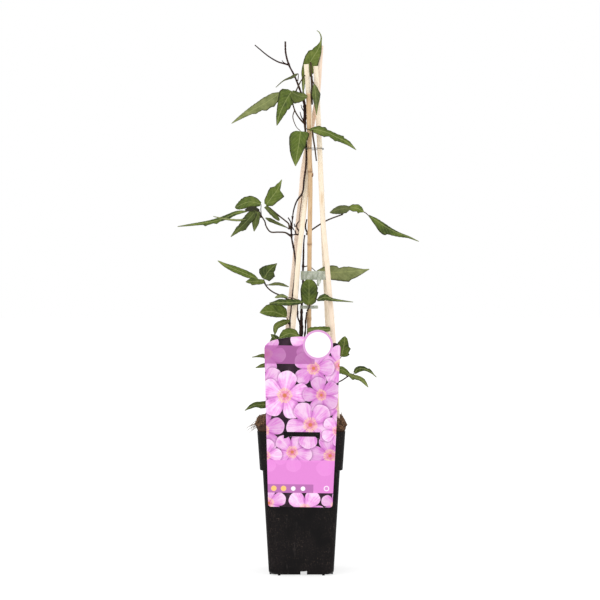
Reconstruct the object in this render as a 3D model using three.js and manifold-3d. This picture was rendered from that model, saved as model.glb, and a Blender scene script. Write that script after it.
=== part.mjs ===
// A potted clematis: a young climbing plant tied to four split-bamboo stakes and a round cane, in a
// square nursery pot with a hooked plant label. Millimetres, +Z up, -Y is the front.
// The origin is under the middle of the pot, on the surface that the pot stands on.
import * as THREE from 'three';
import { mergeVertices } from 'three/addons/utils/BufferGeometryUtils.js';
import Module from 'manifold-3d';

const wasm = await Module();
wasm.setup();

// Driving dimensions
const gap = 0.35;
const rimHeight = 179.4;
const rimHalf = 54.6;
const bandHeight = 47.7;
const bandFootHalf = 51.3;
const bodyTopHalf = 47.9;
const bodyFootHalf = 40.2;
const potWall = 1.2;
const potFloor = 6;
const soilTop = 203;
const stakeWidth = 6.2;
const stakeThickness = 3.6;
const caneRadius = 2.9;
const bladeThickness = 0.64;
const labelThickness = 0.6;
const labelLean = 4;
const labelTilt = 0.75;

const materials = {
  plastic: new THREE.MeshStandardMaterial({ color: 0x1e1c1d, roughness: 0.45, metalness: 0 }),
  soil: new THREE.MeshStandardMaterial({ color: 0x3b2a20, roughness: 0.95, metalness: 0 }),
  card: new THREE.MeshStandardMaterial({ color: 0xd98fd9, roughness: 0.35, metalness: 0 }),
  stake: new THREE.MeshStandardMaterial({ color: 0xf6e3c4, roughness: 0.6, metalness: 0 }),
  cane: new THREE.MeshStandardMaterial({ color: 0xcfa777, roughness: 0.5, metalness: 0 }),
  wire: new THREE.MeshStandardMaterial({ color: 0x2c4a38, roughness: 0.5, metalness: 0.2 }),
  tape: new THREE.MeshStandardMaterial({ color: 0xaebdaa, roughness: 0.3, metalness: 0 }),
  stem: new THREE.MeshStandardMaterial({ color: 0x3a1f24, roughness: 0.6, metalness: 0 }),
  leaf: new THREE.MeshStandardMaterial({ color: 0x5a7632, roughness: 0.55, metalness: 0 }),
};

const vector = ([x, y, z]) => new THREE.Vector3(x, y, z);

// Shape helpers

function geometryOf(positions, indices) {
  const geometry = new THREE.BufferGeometry();
  geometry.setAttribute('position', new THREE.Float32BufferAttribute(positions, 3));
  geometry.setIndex(indices);
  return geometry;
}

// A skin over rings of equal point count, each anticlockwise seen from the last ring's side.
function loft(rings, closed = false) {
  const count = rings[0].length;
  const positions = rings.flat().flatMap((point) => point.toArray());
  const indices = [];
  const corner = (ring, point) => (ring % rings.length) * count + (point % count);
  const bands = closed ? rings.length : rings.length - 1;
  for (let ring = 0; ring < bands; ring += 1) {
    for (let point = 0; point < count; point += 1) {
      const next = [corner(ring + 1, point), corner(ring + 1, point + 1)];
      indices.push(corner(ring, point), corner(ring, point + 1), next[1]);
      indices.push(corner(ring, point), next[1], next[0]);
    }
  }
  for (let point = 1; point < count - 1 && !closed; point += 1) {
    const last = rings.length - 1;
    indices.push(corner(0, 0), corner(0, point + 1), corner(0, point));
    indices.push(corner(last, 0), corner(last, point), corner(last, point + 1));
  }
  return geometryOf(positions, indices);
}

// A section swept along a smooth path through the points. With `up`, the section's second axis
// keeps to that direction; without it, the section is carried along without twisting.
function sweep({ points, section, steps, up, closed = false }) {
  const curve = new THREE.CatmullRomCurve3(points.map(vector), closed);
  const frames = curve.computeFrenetFrames(steps, closed);
  const rings = [];
  for (let step = 0; step <= steps - (closed ? 1 : 0); step += 1) {
    const along = step / steps;
    const tangent = curve.getTangentAt(along);
    let side = frames.normals[step];
    let top = frames.binormals[step];
    if (up) {
      side = vector(up).cross(tangent).normalize();
      top = tangent.clone().cross(side);
    }
    const middle = curve.getPointAt(along);
    rings.push(section(along).map(([a, b]) => middle.clone().addScaledVector(side, a)
      .addScaledVector(top, b)));
  }
  return loft(rings, closed);
}

function roundSection(radius, sides) {
  return Array.from({ length: sides }, (_, side) => {
    const angle = (2 * Math.PI * side) / sides;
    return [radius * Math.cos(angle), radius * Math.sin(angle)];
  });
}

// A tapering twig, stalk or wire.
function twig(points, [start, end], sides = 5, stepsPerSpan = 2) {
  const radius = (along) => THREE.MathUtils.lerp(start, end, along);
  const steps = (points.length - 1) * stepsPerSpan;
  return sweep({ points, steps, section: (along) => roundSection(radius(along), sides) });
}

function solid(geometry) {
  const plain = geometry.clone();
  plain.deleteAttribute('normal');
  plain.deleteAttribute('uv');
  const merged = mergeVertices(plain, 1e-5);
  return new wasm.Manifold(new wasm.Mesh({
    numProp: 3,
    vertProperties: new Float32Array(merged.attributes.position.array),
    triVerts: new Uint32Array(merged.index.array),
  }));
}

function geometryFromSolid(body) {
  const { vertProperties, triVerts } = body.getMesh();
  return geometryOf(Array.from(vertProperties), Array.from(triVerts));
}

// One body from overlapping pieces, without the loose scraps that joining can leave.
function fuse(geometries) {
  const whole = geometries.map(solid).reduce((joined, piece) => joined.add(piece));
  const bodies = whole.simplify(0.02).decompose();
  return bodies.sort((one, other) => other.volume() - one.volume())[0];
}

const part = new THREE.Group();

function addPiece(name, shape, material) {
  const geometry = shape.isBufferGeometry ? shape : geometryFromSolid(shape);
  geometry.computeVertexNormals();
  const mesh = new THREE.Mesh(geometry, material);
  mesh.name = name;
  part.add(mesh);
  return mesh;
}

function boxAt([x, y, z], [width, depth, height]) {
  return new THREE.BoxGeometry(width, depth, height).translate(x, y, z);
}

// Pot: a square shell with rounded corners, a wider band below the rim and a raised floor.

function squareRing(z, half, corner, cornerSteps = 3) {
  const ring = [];
  for (const quarter of [0, 1, 2, 3]) {
    const [sx, sy] = [[1, 1], [-1, 1], [-1, -1], [1, -1]][quarter];
    for (let step = 0; step <= cornerSteps; step += 1) {
      const angle = (Math.PI / 2) * (quarter + step / cornerSteps);
      const x = sx * (half - corner) + corner * Math.cos(angle);
      const y = sy * (half - corner) + corner * Math.sin(angle);
      ring.push(new THREE.Vector3(x, y, z));
    }
  }
  return ring;
}

const bandFoot = rimHeight - bandHeight;
const stepHeight = 1.5;

// The pot's half width at a height, outside.
function potHalf(z) {
  if (z >= bandFoot) {
    return THREE.MathUtils.mapLinear(z, bandFoot, rimHeight, bandFootHalf, rimHalf);
  }
  return THREE.MathUtils.mapLinear(z, 0, bandFoot - stepHeight, bodyFootHalf, bodyTopHalf);
}

function makePot() {
  const footEdge = 1.2;
  const bevel = 5;
  const outer = loft([
    squareRing(footEdge, potHalf(0) - 0.6, 13),
    squareRing(bevel, potHalf(bevel), 5),
    squareRing(bandFoot - stepHeight, bodyTopHalf, 6.5),
    squareRing(bandFoot, bandFootHalf, 7.5),
    squareRing(rimHeight, rimHalf, 8.5),
  ]);
  const insideFloor = potFloor + 1.4;
  const inner = loft([
    squareRing(insideFloor, potHalf(insideFloor) - potWall, 4.5),
    squareRing(bandFoot - stepHeight, bodyTopHalf - potWall, 5.5),
    squareRing(bandFoot + 0.6, bandFootHalf - potWall, 6.5),
    squareRing(rimHeight + 5, potHalf(rimHeight + 5) - potWall, 7.5),
  ]);
  const under = loft([
    squareRing(-1, potHalf(0) - 2.2, 11),
    squareRing(potFloor, potHalf(potFloor) - 1.6, 4.5),
  ]);
  let pot = solid(outer).subtract(solid(inner)).subtract(solid(under));

  // Drainage: a notch in the middle of each side of the skirt, and holes through the floor.
  const notch = { width: 8, height: 6, offset: 3 };
  const holeReach = 26;
  const holeRadius = 4;
  for (const across of [true, false]) {
    const [long, short, tall] = [2 * rimHalf, notch.width, 2 * notch.height];
    const slit = across ? boxAt([0, 0, 0], [long, short, tall])
      : boxAt([notch.offset, 0, 0], [short, long, tall]);
    pot = pot.subtract(solid(slit));
  }
  for (const [sx, sy] of [[1, 1], [-1, 1], [-1, -1], [1, -1]]) {
    const hole = new THREE.CylinderGeometry(holeRadius, holeRadius, 6, 10).rotateX(Math.PI / 2);
    pot = pot.subtract(solid(hole.translate(sx * holeReach, sy * holeReach, insideFloor)));
  }

  // Small feet at the ends of the skirt's straight edges, and a boss under the middle of the floor.
  const foot = { size: [3.2, 2, 3], reach: 27.5 };
  for (const side of [-1, 1]) {
    for (const end of [-1, 1]) {
      const edge = side * (potHalf(0) - 1.7);
      const z = foot.size[2] / 2;
      const [long, short] = foot.size;
      pot = pot.add(solid(boxAt([end * foot.reach, edge, z], foot.size)));
      pot = pot.add(solid(boxAt([edge, end * foot.reach, z], [short, long, foot.size[2]])));
    }
  }
  const bossRadius = 8;
  const bossHeight = potFloor + 0.6;
  const boss = new THREE.CylinderGeometry(bossRadius, bossRadius, bossHeight, 16);
  return pot.add(solid(boss.rotateX(Math.PI / 2).translate(0, 0, bossHeight / 2)));
}

// Stakes and cane: each path runs from the top end down into the soil.

const stakePaths = {
  stake_front_left: [
    [6.3, -6, 639], [8.8, -6, 604], [10.5, -5.4, 569], [10, -4.6, 534], [7.7, -3.6, 500],
    [5.2, -4.6, 473], [2.7, -8, 449], [-0.9, -12, 418], [-4.2, -15, 386], [-6.5, -18, 355],
    [-9.7, -21.5, 315], [-18.5, -30, 184], [-22, -35, 112],
  ],
  stake_back_left: [
    [25, 10.4, 665], [23.4, 10, 640], [21.6, 9.8, 613], [19.6, 9.6, 595], [14.5, 9.2, 568],
    [9.5, 9.2, 545], [5.4, 9.2, 525], [2.4, 10, 508], [-0.5, 11.6, 473], [-3.2, 13.4, 449],
    [-8.9, 17.6, 386], [-15, 21, 330], [-27, 28, 184], [-31.5, 31, 112],
  ],
  stake_front_right: [
    [18.2, -3, 637], [20.8, -3.6, 585], [23.3, -5.4, 533], [25.3, -9, 481], [27.9, -12.4, 434],
    [32.4, -15.8, 387], [35, -18, 355], [38.8, -21, 312], [45.4, -28, 184], [46, -30, 156],
  ],
  stake_back_right: [
    [20.4, 3.4, 600], [23.4, 5.2, 533], [26.9, 9.4, 456], [29.3, 12.6, 402], [31.6, 15.4, 355],
    [33.6, 18, 310], [38.8, 28, 184], [40.4, 31, 118],
  ],
};
const canePath = [
  [8.8, -12.4, 602], [10.4, -10.4, 531], [11.4, -9.2, 494], [10.4, -6.4, 404], [9.9, -3.8, 318],
  [9.8, 0.5, 184], [9.6, 2, 110],
];
const caneNodes = [0.2, 0.385, 0.577, 0.8];

// A split-bamboo stake is flat at the back and rounded at the front, with square-cut ends.
function stakeSection(grow = 0) {
  const half = stakeWidth / 2 + grow;
  const deep = stakeThickness / 2 + grow;
  return [[half, -deep], [half, deep * 0.3], [half * 0.55, deep], [-half * 0.55, deep],
    [-half, deep * 0.3], [-half, -deep]];
}

function makeStake(points, grow = 0) {
  return sweep({ points, steps: 14, up: [0, -1, 0], section: () => stakeSection(grow) });
}

function makeCane(grow = 0) {
  const steps = 20;
  const nearest = caneNodes.map((place) => Math.round(place * steps) / steps);
  const section = (along) => {
    const atNode = nearest.some((place) => Math.abs(place - along) < 0.25 / steps);
    return roundSection(caneRadius + grow + (atNode ? 0.45 : 0), 8);
  };
  return sweep({ points: canePath, steps, section });
}

// Stems: paths from the soil upwards, with their start and end radius.

const stemPaths = {
  stem_left: {
    main: [[[-3.5, 5, 176], [-3.5, 5, 205], [-6, 2, 250], [-13, 1, 290], [-14.3, 0, 317],
      [-13, 0, 329], [-11.1, 0, 348], [-9, 0.5, 364], [-7.2, 1, 386], [-9.2, 1, 405],
      [-12.4, 0, 423], [-11.3, -2.5, 443], [-9.4, -5.5, 456], [-5.4, -8.4, 467],
      [1.4, -9.2, 477], [3.6, -8.4, 494], [6, -8.3, 513], [6.2, -7.9, 534], [4.6, -6.4, 565], [4.2, -5.5, 588], [-0.6, -5, 604],
      [-4.5, -4, 615], [-9.5, -2, 627], [-15.5, 0, 639], [-19.6, 1, 654], [-20.2, 2, 669]],
    [1.35, 0.95]],
    branches: [
      [[[-15.5, 0, 639], [-23, -1, 641], [-29, -3, 642.5], [-41, -6, 649], [-58.5, -9, 663]],
        [0.85, 0.5]],
      [[[-17.5, 0, 640], [-21.5, -1.5, 641.5], [-24.5, -2, 644.5]], [0.6, 0.5]],
      [[[-12, 0, 423], [-13.4, -2, 432], [-13.4, -3, 440],
        [-16.6, -4, 446]], [0.75, 0.55]],
      [[[1.4, -9.2, 476], [-0.6, -9.6, 460], [-2.2, -10, 448],
        [-2.6, -10.1, 441], [-4.1, -10.2, 439.4], [-5.6, -10.4, 436.8], [-5.6, -10.4, 433],
        [-3.5, -10.2, 429.8], [-2.5, -10, 427.3], [-3.4, -10, 424.6], [-6.2, -9.6, 424.4]], [0.62, 0.5]],
      [[[4.6, -6, 566], [0.5, -7.5, 572], [-1.6, -8, 579]], [0.6, 0.5]],
    ],
  },
  stem_centre: {
    main: [[[0.5, 1, 174], [0.5, 1, 205], [0.4, 0, 250], [-0.2, -1, 290], [0.2, -2.5, 314],
      [0.4, -4, 331], [2.1, -5, 361], [2.2, -5, 380], [2.6, -4.6, 393], [3.4, -3.6, 417],
      [4.4, -3.4, 424]],
    [1.7, 1.15]],
    branches: [],
  },
  stem_short_left: {
    main: [[[-3.4, -1.5, 178], [-3.4, -1.5, 215], [-3, -4, 270], [-1, -6.2, 296],
      [-0.6, -6.6, 304], [-1.8, -6.8, 313], [-4.2, -7, 319.5], [-4.8, -7.2, 326], [-4.6, -7.5, 341]],
    [1, 0.75]],
    branches: [],
  },
  stem_short_right: {
    main: [[[4, -3.5, 180], [4, -3.5, 220], [2.6, -5, 285], [5, -7.6, 302], [5.6, -8.2, 316],
      [7, -8.6, 327]],
    [1, 0.75]],
    branches: [],
  },
};

function makeStem({ main, branches }) {
  const pieces = [twig(main[0], main[1], 6, 1)];
  for (const [points, radii] of branches) {
    pieces.push(twig(points, radii, 5, 1));
  }
  return fuse(pieces);
}

// Soil: fills the pot to the rim, with an uneven mound above it and a plain hole for each stem.

function makeSoil() {
  const noise = seededRandom(7);
  const lump = 1.6;
  const uneven = (ring, z, [spread, drop] = [0, 0]) => ring.map((point) => {
    const swell = 1 + (noise() - 0.5) * 0.035;
    const left = Math.max(0, -point.x / rimHalf);
    const x = point.x * swell * (1 + spread * left);
    return new THREE.Vector3(x, point.y * swell, z - drop * left + (noise() - 0.5) * 2 * lump);
  });
  const inside = (z) => potHalf(z) - potWall - gap;
  const floorTop = potFloor + 1.4 + gap;
  // Each ring of the mound: height, half width, corner, and how it spreads and drops on the left.
  const mound = [[rimHeight + 7, 55.2, 14, [0.015, 0]], [rimHeight + 13.5, 51, 17, [0.07, 0]],
    [rimHeight + 19, 38, 19, [0.12, 3.4]]];
  let soil = solid(loft([
    squareRing(floorTop, inside(floorTop), 4.2, 4),
    squareRing(bandFoot - stepHeight, bodyTopHalf - potWall - gap, 5.2, 4),
    squareRing(bandFoot + 2, inside(bandFoot + 2), 6.2, 4),
    squareRing(rimHeight + gap, inside(rimHeight + gap), 7, 4),
    squareRing(rimHeight + 2.2, 54.6, 9, 4),
    ...mound.map(([z, half, corner, lean]) => uneven(squareRing(z, half, corner, 4), z, lean)),
    uneven(squareRing(soilTop, 16, 10, 4), soilTop),
  ]));
  const hookPocket = boxAt([1, -53, rimHeight - 2], [52, 6, 18]);
  const besideLabel = boxAt([1, -62, rimHeight + 10], [100, 15, 40]);
  soil = soil.subtract(solid(hookPocket)).subtract(solid(besideLabel));
  for (const points of Object.values(stakePaths)) {
    soil = soil.subtract(solid(makeStake(points, gap)));
  }
  soil = soil.subtract(solid(makeCane(gap)));
  for (const { main: [points, radii] } of Object.values(stemPaths)) {
    soil = soil.subtract(solid(twig(points, radii.map((radius) => radius + gap), 6, 1)));
  }
  return soil;
}

function seededRandom(seed) {
  let state = seed;
  return () => {
    state = (state * 16807) % 2147483647;
    return state / 2147483647;
  };
}

// Label: a tapered card with a die-cut top, hung on the front rim by a short tongue.

const label = {
  topHalf: 46.7, bottomHalf: 39.7, shoulder: 106, bottom: -93.5, corner: 4,
  lobe: { x: 19, z: 108.1, radius: 18.5 },
  slot: { left: -21.6, right: 23.3, ends: -8.4, middle: -5.8 },
};

function labelOutline() {
  const { topHalf, bottomHalf, shoulder, bottom, corner, lobe } = label;
  const shape = new THREE.Shape();
  shape.moveTo(-bottomHalf + corner, bottom);
  shape.lineTo(bottomHalf - corner, bottom);
  shape.quadraticCurveTo(bottomHalf, bottom, bottomHalf + 0.1, bottom + corner);
  shape.lineTo(topHalf, shoulder - 3);
  shape.quadraticCurveTo(topHalf + 0.6, shoulder + 2, topHalf - 5, shoulder + 4.5);
  shape.quadraticCurveTo(topHalf - 8.5, shoulder + 5.2, topHalf - 10, shoulder + 4);
  shape.absarc(lobe.x, lobe.z, lobe.radius, 0.2, 2.58, false);
  shape.quadraticCurveTo(-16, 118.5, -36, 113);
  shape.quadraticCurveTo(-46, 109.5, -topHalf, shoulder - 3);
  shape.lineTo(-bottomHalf - 0.1, bottom + corner);
  shape.quadraticCurveTo(-bottomHalf, bottom, -bottomHalf + corner, bottom);
  return shape;
}

function labelSlot() {
  const { left, right, ends, middle } = label.slot;
  const hole = new THREE.Path();
  hole.moveTo(left, 0);
  hole.lineTo(left, ends);
  hole.quadraticCurveTo(left + 4, ends, left + 6, middle);
  hole.lineTo(right - 6, middle);
  hole.quadraticCurveTo(right - 4, ends, right, ends);
  hole.lineTo(right, 0);
  hole.closePath();
  return hole;
}

function makeLabel() {
  const shape = labelOutline();
  shape.holes.push(labelSlot());
  const plate = new THREE.ExtrudeGeometry(shape, {
    depth: labelThickness, bevelEnabled: false, curveSegments: 6,
  });
  plate.rotateX(Math.PI / 2);
  const { left, right } = label.slot;
  const middle = (left + right) / 2;
  const width = right - left - 8;
  const reach = potWall + 3 * gap + labelThickness;
  const over = boxAt([middle, reach / 2 - 0.1, 0.8], [width, reach + 0.2, 0.7]);
  const tongue = boxAt([middle, reach - labelThickness / 2, -2.2], [width, labelThickness, 6.6]);
  return fuse([plate, over, tongue]);
}

// Ties

function makeWireTie() {
  const height = 533.5;
  const loop = [[2.8, -8.4], [1.6, 0], [0.6, 7], [1.4, 12], [8, 12.8], [20, 9.2],
    [27.4, 7.8], [28, 1], [27.4, -5.4], [24, -8.6], [15.6, -13.4], [10.8, -14.8], [5.8, -12.4]];
  const points = loop.map(([x, y], place) => [x, y, height + 0.25 * Math.sin(place)]);
  const ring = sweep({ points, steps: 28, closed: true, section: () => roundSection(0.45, 4) });
  const knot = twig([points[12], [5, -14, height + 1.6], [6.8, -15.4, height - 0.6],
    [4.6, -16.2, height - 1.6]], [0.5, 0.45]);
  return fuse([ring, knot]);
}

// A flat band round the stems, standing on edge.
function makeBand({ loop, bottom, top, thickness, steps }) {
  const middle = (bottom + top) / 2;
  const half = (top - bottom) / 2;
  const [out, tall] = [thickness / 2, half];
  const points = loop.map(([x, y]) => [x, y, middle]);
  const section = () => [[out, -tall], [out, tall], [-out, tall], [-out, -tall]];
  return sweep({ points, steps, closed: true, up: [0, 0, 1], section });
}

const tapeBand = {
  loop: [[-0.6, -4.8], [1, -8.6], [9.8, -9.8], [20, -9.6], [29, -9.8], [30.6, -8.4],
    [27, -6.6], [17, -1.8], [10, -0.6], [2, -1.8]],
  bottom: 367.4, top: 378.4, thickness: 0.7, steps: 30,
};
const lowerBand = {
  loop: [[-1.4, -4], [0.4, -7.4], [9.6, -8], [19.4, -7.4], [21, -6], [15, -1.4], [9.6, 0.8],
    [1.4, -0.6]],
  bottom: 331, top: 335, thickness: 0.6, steps: 26,
};

// Leaves: each leaflet is a thin toothed blade, folded along its midrib, on a stalk of its own.

// The rows of a blade whose half widths are measured: every place that either side names.
function measuredStations({ left, right }) {
  const width = (side, t) => {
    const after = side.findIndex(([place]) => place >= t);
    const [[from, start], [to, end]] = [side[Math.max(after - 1, 0)], side[after]];
    return to > from ? THREE.MathUtils.mapLinear(t, from, to, start, end) : end;
  };
  const closest = 0.035;
  const places = [...left, ...right].map(([t]) => t).sort((one, other) => one - other);
  const apart = places.filter((t, place) => place === 0 || t === 1
    || (1 - t > closest && t - places[place - 1] >= closest));
  return [...new Set(apart)].map((t) => [t, [width(left, t), width(right, t)], false]);
}

// Half widths along a blade from base to tip, with forward teeth, for a blade that is told by its
// widest place.
function bladeStations({ width, teeth = 2, widest = 0.34, depth = 0.22, taper = 1.35 }) {
  const rise = Math.min((taper * widest) / (1 - widest), 1);
  const envelope = (t) => ((t / widest) ** rise) * (((1 - t) / (1 - widest)) ** taper);
  const stations = [[0, 0.03], [0.06, envelope(0.07)], [0.16, envelope(0.16)]];
  const [first, last] = [0.3, 0.8];
  for (let tooth = 0; tooth < teeth; tooth += 1) {
    const t = teeth > 1 ? THREE.MathUtils.lerp(first, last, tooth / (teeth - 1)) : 0.5;
    stations.push([t, envelope(t) * (1 + depth * 0.45), true]);
    stations.push([t + 0.05, envelope(t + 0.05) * (1 - depth)]);
  }
  stations.push([0.93, envelope(0.93)], [1, 0.02]);
  return stations.sort((one, other) => one[0] - other[0])
    .map(([t, share, isTooth]) => [t, width.map((half) => share * half), isTooth]);
}

// `rib` runs from base to tip, `face` is the way the upper side looks at the base and `tipFace` at
// the tip, `fold` lifts both halves in degrees and `wave` ripples the edges. `left` and `right` give
// half widths at places from 0 at the base to 1 at the tip; without them, `width` holds the widest.
function makeBlade({ rib, face, tipFace, fold = 16, wave = 0.5, ...outline }) {
  const curve = new THREE.CatmullRomCurve3(rib.map(vector));
  const length = curve.getLength();
  const lift = THREE.MathUtils.degToRad(fold);
  const start = vector(face).normalize();
  const end = vector(tipFace ?? face).normalize();
  const stations = outline.left ? measuredStations(outline) : bladeStations(outline);
  const rows = stations.map(([t, widths, isTooth], row) => {
    const tangent = curve.getTangentAt(t);
    const facing = start.clone().lerp(end, t).normalize();
    const right = tangent.clone().cross(facing).normalize();
    const normal = right.clone().cross(tangent).normalize();
    const middle = curve.getPointAt(t);
    const ripple = wave * Math.sin(2.1 * row) * Math.min(1, 4 * t * (1 - t));
    const edges = [-1, 1].map((side, index) => {
      const reach = Math.max(widths[index], 0.45);
      const edge = middle.clone().addScaledVector(right, side * reach * Math.cos(lift));
      edge.addScaledVector(normal, reach * Math.sin(lift) + ripple * side);
      return edge.addScaledVector(tangent, isTooth ? 0.035 * length : 0);
    });
    return { left: edges[0], middle, right: edges[1], normal };
  });
  return skinBlade(rows);
}

// Closes the blade's rows into a thin solid, split into triangles alike on both faces.
function skinBlade(rows) {
  const half = bladeThickness / 2;
  const positions = [];
  for (const { left, middle, right, normal } of rows) {
    for (const side of [half, -half]) {
      for (const point of [left, middle, right]) {
        positions.push(...point.clone().addScaledVector(normal, side).toArray());
      }
    }
  }
  const indices = [];
  const quad = (a, b, c, d) => indices.push(a, b, c, a, c, d);
  const [topLeft, topMiddle, topRight, lowLeft, lowMiddle, lowRight] = [0, 1, 2, 3, 4, 5];
  for (let row = 0; row < rows.length - 1; row += 1) {
    const here = row * 6;
    const next = here + 6;
    quad(here + topMiddle, next + topMiddle, next + topLeft, here + topLeft);
    quad(next + topRight, next + topMiddle, here + topMiddle, here + topRight);
    indices.push(here + lowMiddle, next + lowLeft, next + lowMiddle);
    indices.push(here + lowMiddle, here + lowLeft, next + lowLeft);
    indices.push(next + lowRight, here + lowMiddle, next + lowMiddle);
    indices.push(next + lowRight, here + lowRight, here + lowMiddle);
    quad(here + topLeft, next + topLeft, next + lowLeft, here + lowLeft);
    quad(next + topRight, here + topRight, here + lowRight, next + lowRight);
  }
  const last = (rows.length - 1) * 6;
  quad(topMiddle, topLeft, lowLeft, lowMiddle);
  quad(topRight, topMiddle, lowMiddle, lowRight);
  quad(last + topLeft, last + topMiddle, last + lowMiddle, last + lowLeft);
  quad(last + topMiddle, last + topRight, last + lowRight, last + lowMiddle);
  return geometryOf(positions, indices);
}

// The leaflet's own stalk runs from its junction into the base of the blade, under the midrib.
function makeLeafletStalk({ rib, stalk }) {
  const curve = new THREE.CatmullRomCurve3(rib.map(vector));
  const sunk = curve.getPointAt(0.07).toArray();
  return twig([...stalk, rib[0], sunk], [0.66, 0.5], 4, 1);
}

function makeLeaf({ petiole, tendrils = [], leaflets }) {
  const pieces = petiole ? [twig(petiole, [0.78, 0.68], 5, 1)] : [];
  for (const tendril of tendrils) {
    pieces.push(twig(tendril, [0.65, 0.5], 5, 1));
  }
  for (const leaflet of leaflets) {
    pieces.push(makeBlade(leaflet));
    if (leaflet.stalk) {
      pieces.push(makeLeafletStalk(leaflet));
    }
  }
  return fuse(pieces);
}

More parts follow.
